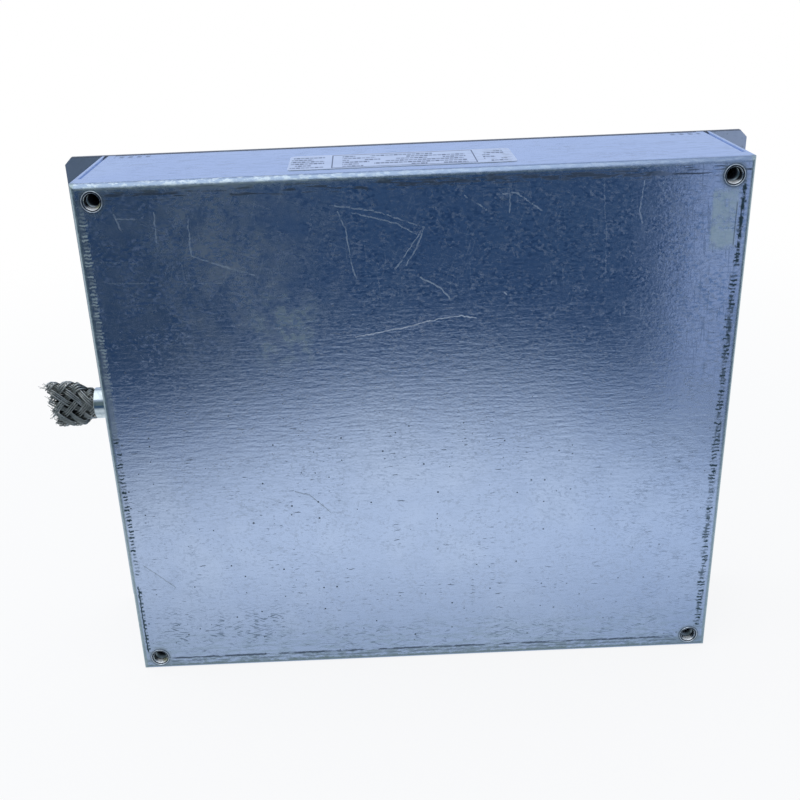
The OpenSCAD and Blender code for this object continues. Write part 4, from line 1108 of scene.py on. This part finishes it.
braid = {
    "grip": 4.5,  # length inside the ferrule
    "reach": 17.0,
    "slant": 1.2,
    "neck": 4.2,  # half width and half thickness inside the ferrule
    "throat": 5.2,
    "rim": 0.8,
    "halfWidth": 8.2,
    "halfThick": 2.3,
    "spreadStart": 2.0,
    "spreadLength": 4.5,
    "flattenStart": 1.0,
    "flattenLength": 6.0,
    "step": 0.3,  # between the points of a wire
    "ringSteps": 90,
    "bundles": 8,
    "wires": 3,
    "wireRadius": 0.33,
    "wireGap": 0.74,
    "thinnest": 0.72,  # share of the full wire radius
    "lift": 0.48,
    "crossing": 2.5,  # how steeply a bundle dips under the next
    "layAngle": 41.0,
    "wobble": 0.12,  # how far a wire strays sideways at its end
    "endSpread": 1.2,  # how unevenly the wires are cut
    "underWires": 38,
    "underDepth": 1.2,
    "underShort": (1.0, 3.0),  # how much shorter the wires below are
    "underSpread": 0.3,
    "hairs": 60,
    "hairRadius": 0.07,
    "hairLength": (0.8, 2.6),
    "hairPoints": 6,
    "hairRoot": 0.35,
    "hairBend": 0.5,
    "hairTurn": [(-1, 0.2), (-1, 1), (-1, 1)],  # least and most bend along x, y and z
    "seed": 5,
    # the finish; the last two go by the distance from the braid's middle, where 1 is its skin, and are
    # painted shade
    "color": (0.50, 0.50, 0.45),
    "rough": 0.27,
    "tarnishPatch": (3.0, 3, 0.6, 91, 0.4, 0.65),
    "tarnish": (0.6, (0.30, 0.30, 0.26), 0.42),
    "brightPatch": (2.2, 2, 0.6, 92, 0.56, 0.7),
    "bright": (0.5, (0.60, 0.60, 0.58), 0.32),
    "shadeEdge": (1.12, 0.86, 0.0, 0.6),
    "shade": (1.0, (0.20, 0.20, 0.17), 0.4),
    "innerEdge": (0.82, 0.62),
    "inner": (1.0, (0.03, 0.03, 0.028), 0.6),
}


def braidFinish(setup):
    # painted shade: the outer wires keep their bright colour, and the wires between and under them are
    # painted dark
    finish = Finish("braidWire", setup["color"], setup["rough"])
    finish.layCoat(finish.patch(*setup["tarnishPatch"]), *setup["tarnish"])
    finish.layCoat(finish.patch(*setup["brightPatch"]), *setup["bright"])
    low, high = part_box("cable_ferrule")
    aside = finish.calc("SUBTRACT", finish.y, (low.y + high.y) * 500)
    rise = finish.calc("SUBTRACT", finish.z, (low.z + high.z) * 500)
    aside = finish.calc("DIVIDE", aside, setup["halfThick"])
    rise = finish.calc("DIVIDE", rise, setup["halfWidth"])
    away = finish.vectors("LENGTH", {0: finish.plane(aside, rise)})
    # painted shade, darker towards the braid's middle
    finish.layCoat(finish.ramp(away, *setup["shadeEdge"]), *setup["shade"])
    finish.layCoat(finish.ramp(away, *setup["innerEdge"]), *setup["inner"])
    return finish.done()


ferruleNickel = {
    "color": (0.80, 0.84, 0.80),
    "rough": 0.15,
    "patch": (2.4, 3, 0.6, 82, 0.45, 0.65),
    "dull": (0.5, (0.56, 0.60, 0.55), 0.3),
    "grain": ((2.5, 0.3, 0.3), 2, 0.5, 81),
    "grainDepth": 0.004,
}
terminalBrass = {
    "color": (0.70, 0.66, 0.58),
    "rough": 0.3,
    "patch": (3.0, 3, 0.6, 141, 0.42, 0.66),
    "dull": (0.7, (0.46, 0.42, 0.34), 0.42),
    "grain": ((1.5, 0.4, 1.5), 2, 0.6, 142),
    "grainDepth": 0.005,
}


def metalFinish(name, setup):
    finish = Finish(name, setup["color"], setup["rough"])
    finish.layCoat(finish.patch(*setup["patch"]), *setup["dull"])
    finish.relief(finish.noise(*setup["grain"]), setup["grainDepth"])
    return finish.done()


plastic = {
    "shadeSize": (7.0, 3, 0.55),
    "shadeLevels": (0.4, 0.65),
    "shadeShare": 0.6,
    "shadeRough": 0.08,
    "grainSize": 0.6,
    "grain": (2, 0.6),  # detail and roughness
    "grainDepth": 0.01,
    # name, colour, its shade, roughness and seed of each, and a grain size where it differs
    "pieces": {
        "block_plastic": ("blockPlastic", (0.62, 0.61, 0.56), (0.50, 0.49, 0.44), 0.45, 131),
        "insulation_film": ("insulationFilm", (0.66, 0.60, 0.44), (0.56, 0.50, 0.36), 0.5, 151),
        "core_ferrite": ("coreFerrite", (0.10, 0.10, 0.105), (0.06, 0.06, 0.062), 0.5, 161, 0.3),
        "choke_plastic": ("chokePlastic", (0.09, 0.09, 0.10), (0.05, 0.05, 0.055), 0.45, 171),
        "capacitor_case": ("capacitorCase", (0.60, 0.60, 0.58), (0.50, 0.50, 0.47), 0.4, 181),
        "earth_capacitor_case": ("earthCapacitorCase", (0.08, 0.20, 0.42), (0.05, 0.14, 0.32), 0.35, 191),
        "resistor_body": ("resistorBody", (0.42, 0.52, 0.56), (0.32, 0.40, 0.44), 0.4, 201),
        "lead_black": ("leadBlack", (0.035, 0.035, 0.038), (0.06, 0.06, 0.06), 0.45, 211),
    },
}


def plasticFinish(setup, name, color, darker, rough, seed, grainSize=plastic["grainSize"]):
    finish = Finish(name, color, rough, 0.0)
    shade = finish.ramp(finish.noise(*setup["shadeSize"], seed), *setup["shadeLevels"])
    finish.layCoat(shade, setup["shadeShare"], darker, rough + setup["shadeRough"])
    finish.relief(finish.noise(grainSize, *setup["grain"], seed + 1), setup["grainDepth"])
    return finish.done()


board = {
    "color": (0.10, 0.26, 0.14),
    "rough": 0.4,
    "weaveRate": 5.2,
    "weaveDepth": 0.004,
    "threadLevels": (0.2, 0.9, 0.0, 0.25),
    "thread": (1.0, (0.20, 0.38, 0.22)),
    "tonePatch": (14.0, 3, 0.6, 101, 0.4, 0.65),
    "tone": (0.5, (0.07, 0.20, 0.11), 0.5),
}


def boardFinish(setup):
    finish = Finish("boardLaminate", setup["color"], setup["rough"], 0.0)
    weave = [finish.wave(value, setup["weaveRate"]) for value in (finish.x, finish.z)]
    weave = finish.times(*weave)
    finish.relief(weave, setup["weaveDepth"])
    finish.layCoat(finish.ramp(weave, *setup["threadLevels"]), *setup["thread"])
    finish.layCoat(finish.patch(*setup["tonePatch"]), *setup["tone"])
    return finish.done()


copper = {
    "color": (0.78, 0.34, 0.16),
    "rough": 0.28,
    "strandRate": 3.4,
    "strandDepth": 0.12,
    # painted shade in the troughs between the turns
    "gapLevels": (-0.4, -0.95),
    "gap": (1.0, (0.34, 0.12, 0.05), 0.45),
    "varnishPatch": (4.0, 3, 0.6, 111, 0.45, 0.65),
    "varnish": (0.5, (0.58, 0.22, 0.09), 0.36),
}


def copperFinish(setup):
    finish = Finish("windingCopper", setup["color"], setup["rough"])
    strands = finish.wave(finish.y, setup["strandRate"])
    finish.relief(strands, setup["strandDepth"])
    # painted shade in the troughs between the turns
    finish.layCoat(finish.ramp(strands, *setup["gapLevels"]), *setup["gap"])
    finish.layCoat(finish.patch(*setup["varnishPatch"]), *setup["varnish"])
    return finish.done()


earthLead = {
    "color": (0.16, 0.42, 0.10),
    "rough": 0.42,
    "stripeRate": 0.9,
    "stripeLevels": (0.25, 0.45),
    "stripe": (1.0, (0.86, 0.76, 0.10)),
    "grimePatch": (3.0, 3, 0.6, 121, 0.5, 0.7),
    "grime": (0.4, (0.28, 0.30, 0.14), 0.55),
}


def earthLeadFinish(setup):
    finish = Finish("earthLead", setup["color"], setup["rough"], 0.0)
    stripes = finish.wave(finish.calc("ADD", finish.x, finish.z), setup["stripeRate"])
    finish.layCoat(finish.ramp(stripes, *setup["stripeLevels"]), *setup["stripe"])
    finish.layCoat(finish.patch(*setup["grimePatch"]), *setup["grime"])
    return finish.done()


finishes = {
    "case_zinc": caseFinish(zinc),
    "plate_zinc": plainZinc("plateZinc", plateZinc),
    "screw_zinc": plainZinc("screwZinc", screwZinc),
    "nut_zinc": nutFinish(driveNut),
    "label_film": labelFinish(label),
    "ferrule_nickel": metalFinish("ferruleNickel", ferruleNickel),
    "braid_wire": braidFinish(braid),
    "terminal_brass": metalFinish("terminalBrass", terminalBrass),
    "board_laminate": boardFinish(board),
    "winding_copper": copperFinish(copper),
    "lead_earth": earthLeadFinish(earthLead),
}
for slot, piece in plastic["pieces"].items():
    finishes[slot] = plasticFinish(plastic, *piece)
print("finishes made:", len(finishes))


def dressNodes():
    # a node comes with a plain material that is named for its slot
    for name, node in nodes.items():
        slot = node.data.materials[0].name.split(".")[0]
        if slot not in finishes:
            print("no finish for", name, slot)
            continue
        node.data.materials.clear()
        node.data.materials.append(finishes[slot])


dressNodes()
print("nodes dressed")


def ease(value):
    value = min(max(value, 0.0), 1.0)
    return value * value * (3 - 2 * value)


def braidHalves(setup, u):
    # half width and half thickness at the distance u along the braid
    out = u - setup["grip"]
    spread = ease((out - setup["spreadStart"]) / setup["spreadLength"])
    flatten = ease((out - setup["flattenStart"]) / setup["flattenLength"])
    wide = setup["neck"] + (setup["throat"] - setup["neck"]) * ease(out / setup["rim"])
    wide += (setup["halfWidth"] - setup["throat"]) * spread
    thick = setup["neck"] + (setup["halfThick"] - setup["neck"]) * flatten
    return wide, thick


def ringTable(wide, thick, steps):
    # how far round the flattened tube each of its steps lies
    lengths = [0.0]
    for index in range(steps):
        start = math.tau * index / steps
        end = math.tau * (index + 1) / steps
        dy = thick * (math.cos(end) - math.cos(start))
        dz = wide * (math.sin(end) - math.sin(start))
        lengths.append(lengths[-1] + math.hypot(dy, dz))
    return lengths


def ringAngle(lengths, share):
    # the angle at a share of the way round
    steps = len(lengths) - 1
    target = (share % 1.0) * lengths[-1]
    low, high = 0, steps
    while high - low > 1:
        middle = (low + high) // 2
        if lengths[middle] <= target:
            low = middle
        else:
            high = middle
    part = (target - lengths[low]) / (lengths[high] - lengths[low])
    return math.tau * (low + part) / steps


def weaveLift(setup, phase):
    # two over, two under
    steep = setup["crossing"]
    return math.tanh(steep * math.cos((phase - 0.5) * math.pi / 2)) / math.tanh(steep)


def makeBraid(setup):
    draw = random.Random(setup["seed"])
    low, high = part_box("cable_ferrule")
    mouth = low.x * 1000
    axisY = (low.y + high.y) * 500
    axisZ = (low.z + high.z) * 500
    total = setup["grip"] + setup["reach"]
    bundles = setup["bundles"]
    step = setup["step"]
    count = int(total / step) + 1
    tables = []
    for index in range(count + 1):
        tables.append(ringTable(*braidHalves(setup, step * index), setup["ringSteps"]))
    layAngle = math.radians(setup["layAngle"])
    turnRate = math.tan(layAngle)
    turned = [0.0]  # share of a full turn at each step
    for index in range(count):
        turned.append(turned[-1] + turnRate * step / tables[index][-1])

    curve = bpy.data.curves.new("shieldBraidWeave", "CURVE")
    curve.dimensions = "3D"
    curve.bevel_depth = setup["wireRadius"] * mm
    curve.bevel_resolution = 1
    curve.use_fill_caps = True

    def spot(index, share, out):
        u = step * index
        wide, thick = braidHalves(setup, u)
        angle = ringAngle(tables[index], share)
        slide = 1 + setup["slant"] * math.sin(angle) / total
        return Vector((
            mouth + setup["grip"] - u * slide,
            axisY + (thick + out) * math.cos(angle),
            axisZ + (wide + out) * math.sin(angle),
        )) * mm

    def addWire(points, radius=1.0):
        spline = curve.splines.new("POLY")
        spline.points.add(len(points) - 1)
        for place, point in zip(points, spline.points):
            point.co = (*place, 1.0)
            point.radius = radius

    ends = []
    for way in (1, -1):
        for number in range(bundles):
            for wire in range(setup["wires"]):
                aside = (wire - (setup["wires"] - 1) / 2) * setup["wireGap"]
                last = count - 1 - int(draw.random() * setup["endSpread"] / step)
                wobble = draw.uniform(-setup["wobble"], setup["wobble"])
                points = []
                for index in range(last):
                    crossings = turned[index] * 2 * bundles
                    if way > 0:
                        phase = crossings + 2 * number
                        lift = weaveLift(setup, phase)
                    else:
                        phase = 2 * number - crossings
                        lift = -weaveLift(setup, phase)
                    around = tables[index][-1]
                    shift = aside / math.cos(layAngle) / around
                    stray = wobble * ease(index / count) / around
                    share = number / bundles + way * turned[index] + shift + stray
                    points.append(spot(index, share, setup["lift"] * lift))
                addWire(points, draw.uniform(setup["thinnest"], 1.0))
                ends.append((points[-1], points[-1] - points[-4]))
    for number in range(setup["underWires"]):
        # straight wires under the weave
        last = count - 1 - int(draw.uniform(*setup["underShort"]) / step)
        stray = draw.uniform(-setup["underSpread"], setup["underSpread"])
        share = (number + stray) / setup["underWires"]
        addWire([spot(index, share, -setup["underDepth"]) for index in range(last)])
    for number in range(setup["hairs"]):
        # fine loose wires at the cut end
        start, heading = draw.choice(ends)
        heading = heading.normalized()
        length = draw.uniform(*setup["hairLength"]) * mm
        bend = Vector([draw.uniform(*span) for span in setup["hairTurn"]])
        points = []
        for index in range(setup["hairPoints"]):
            part = index / (setup["hairPoints"] - 1)
            straight = start + heading * length * (part - setup["hairRoot"])
            points.append(straight + bend * length * setup["hairBend"] * part * part)
        addWire(points, setup["hairRadius"] / setup["wireRadius"])

    weave = bpy.data.objects.new("shieldBraidWeave", curve)
    bpy.context.scene.collection.objects.link(weave)
    bpy.ops.object.select_all(action="DESELECT")
    weave.select_set(True)
    bpy.context.view_layer.objects.active = weave
    bpy.ops.object.convert(target="MESH")
    weave = bpy.context.object
    bpy.ops.object.shade_smooth()
    weave.data.materials.clear()
    weave.data.materials.append(finishes["braid_wire"])
    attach(weave, "root")
    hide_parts("shield_braid")
    print("braid woven:", len(weave.data.polygons), "faces")


makeBraid(braid)


def turnNut(setup):
    # a ring drawn out step by step into the turned shape
    steps = setup["steps"]
    radius, depth = steps[0]
    bpy.ops.object.select_all(action="DESELECT")
    bpy.ops.mesh.primitive_circle_add(
        vertices=setup["ringPoints"], radius=radius * mm,
        location=(0, depth * mm, 0), rotation=(math.radians(90), 0, 0),
    )
    nut = bpy.context.object
    bpy.ops.object.transform_apply(location=True, rotation=True, scale=True)
    bpy.ops.object.mode_set(mode="EDIT")
    bpy.ops.mesh.select_mode(type="EDGE")
    bpy.ops.mesh.select_all(action="SELECT")
    for nextRadius, nextDepth in steps[1:]:
        move = (0, (nextDepth - depth) * mm, 0)
        bpy.ops.mesh.extrude_region_move(TRANSFORM_OT_translate={"value": move})
        grow = nextRadius / radius
        bpy.ops.transform.resize(value=(grow, 1, grow), center_override=(0, nextDepth * mm, 0))
        radius, depth = nextRadius, nextDepth
    bpy.ops.mesh.select_all(action="DESELECT")
    bpy.ops.mesh.select_non_manifold()
    bpy.ops.mesh.bridge_edge_loops()
    bpy.ops.mesh.select_all(action="SELECT")
    bpy.ops.mesh.normals_make_consistent(inside=False)
    bpy.ops.object.mode_set(mode="OBJECT")
    return nut


def cutThread(setup):
    # a three-sided ridge wound along the bore
    bpy.ops.object.select_all(action="DESELECT")
    bpy.ops.mesh.primitive_circle_add(
        vertices=3, radius=setup["threadSize"] * mm,
        location=(setup["threadRadius"] * mm, setup["threadStart"] * mm, 0),
        rotation=(0, 0, math.radians(90)),
    )
    thread = bpy.context.object
    bpy.ops.object.transform_apply(location=True, rotation=True, scale=True)
    screw = thread.modifiers.new("thread", "SCREW")
    screw.axis = "Y"
    screw.screw_offset = setup["threadPitch"] * mm
    screw.iterations = setup["threadTurns"]
    screw.steps = setup["threadSteps"]
    screw.render_steps = setup["threadSteps"]
    bpy.ops.object.modifier_apply(modifier=screw.name)
    bpy.ops.object.mode_set(mode="EDIT")
    bpy.ops.mesh.select_all(action="SELECT")
    bpy.ops.mesh.fill_holes(sides=3)
    bpy.ops.mesh.select_all(action="SELECT")
    bpy.ops.mesh.normals_make_consistent(inside=False)
    bpy.ops.object.mode_set(mode="OBJECT")
    return thread


def placeNuts(setup):
    # one nut with its thread, copied to the four corners of the nuts' box
    nut = turnNut(setup)
    thread = cutThread(setup)
    bpy.ops.object.select_all(action="DESELECT")
    nut.select_set(True)
    thread.select_set(True)
    bpy.context.view_layer.objects.active = nut
    bpy.ops.object.join()
    low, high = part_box("drive_nuts")
    inset = setup["widest"] * mm
    copies = []
    for x in (low.x + inset, high.x - inset):
        for z in (low.z + inset, high.z - inset):
            copy = nut.copy()
            copy.data = nut.data.copy()
            bpy.context.scene.collection.objects.link(copy)
            copy.location = (x, low.y + setup["proud"] * mm, z)
            copies.append(copy)
    bpy.data.objects.remove(nut)
    bpy.ops.object.select_all(action="DESELECT")
    for copy in copies:
        copy.select_set(True)
    bpy.context.view_layer.objects.active = copies[0]
    bpy.ops.object.join()
    nuts = bpy.context.object
    nuts.name = "driveNutsTurned"
    bpy.ops.object.transform_apply(location=True, rotation=True, scale=True)
    bpy.ops.object.shade_smooth_by_angle(angle=math.radians(setup["smoothAngle"]))
    nuts.data.materials.clear()
    nuts.data.materials.append(finishes["nut_zinc"])
    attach(nuts, "root")
    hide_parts("drive_nuts")
    print("nuts turned:", len(nuts.data.polygons), "faces")


placeNuts(driveNut)
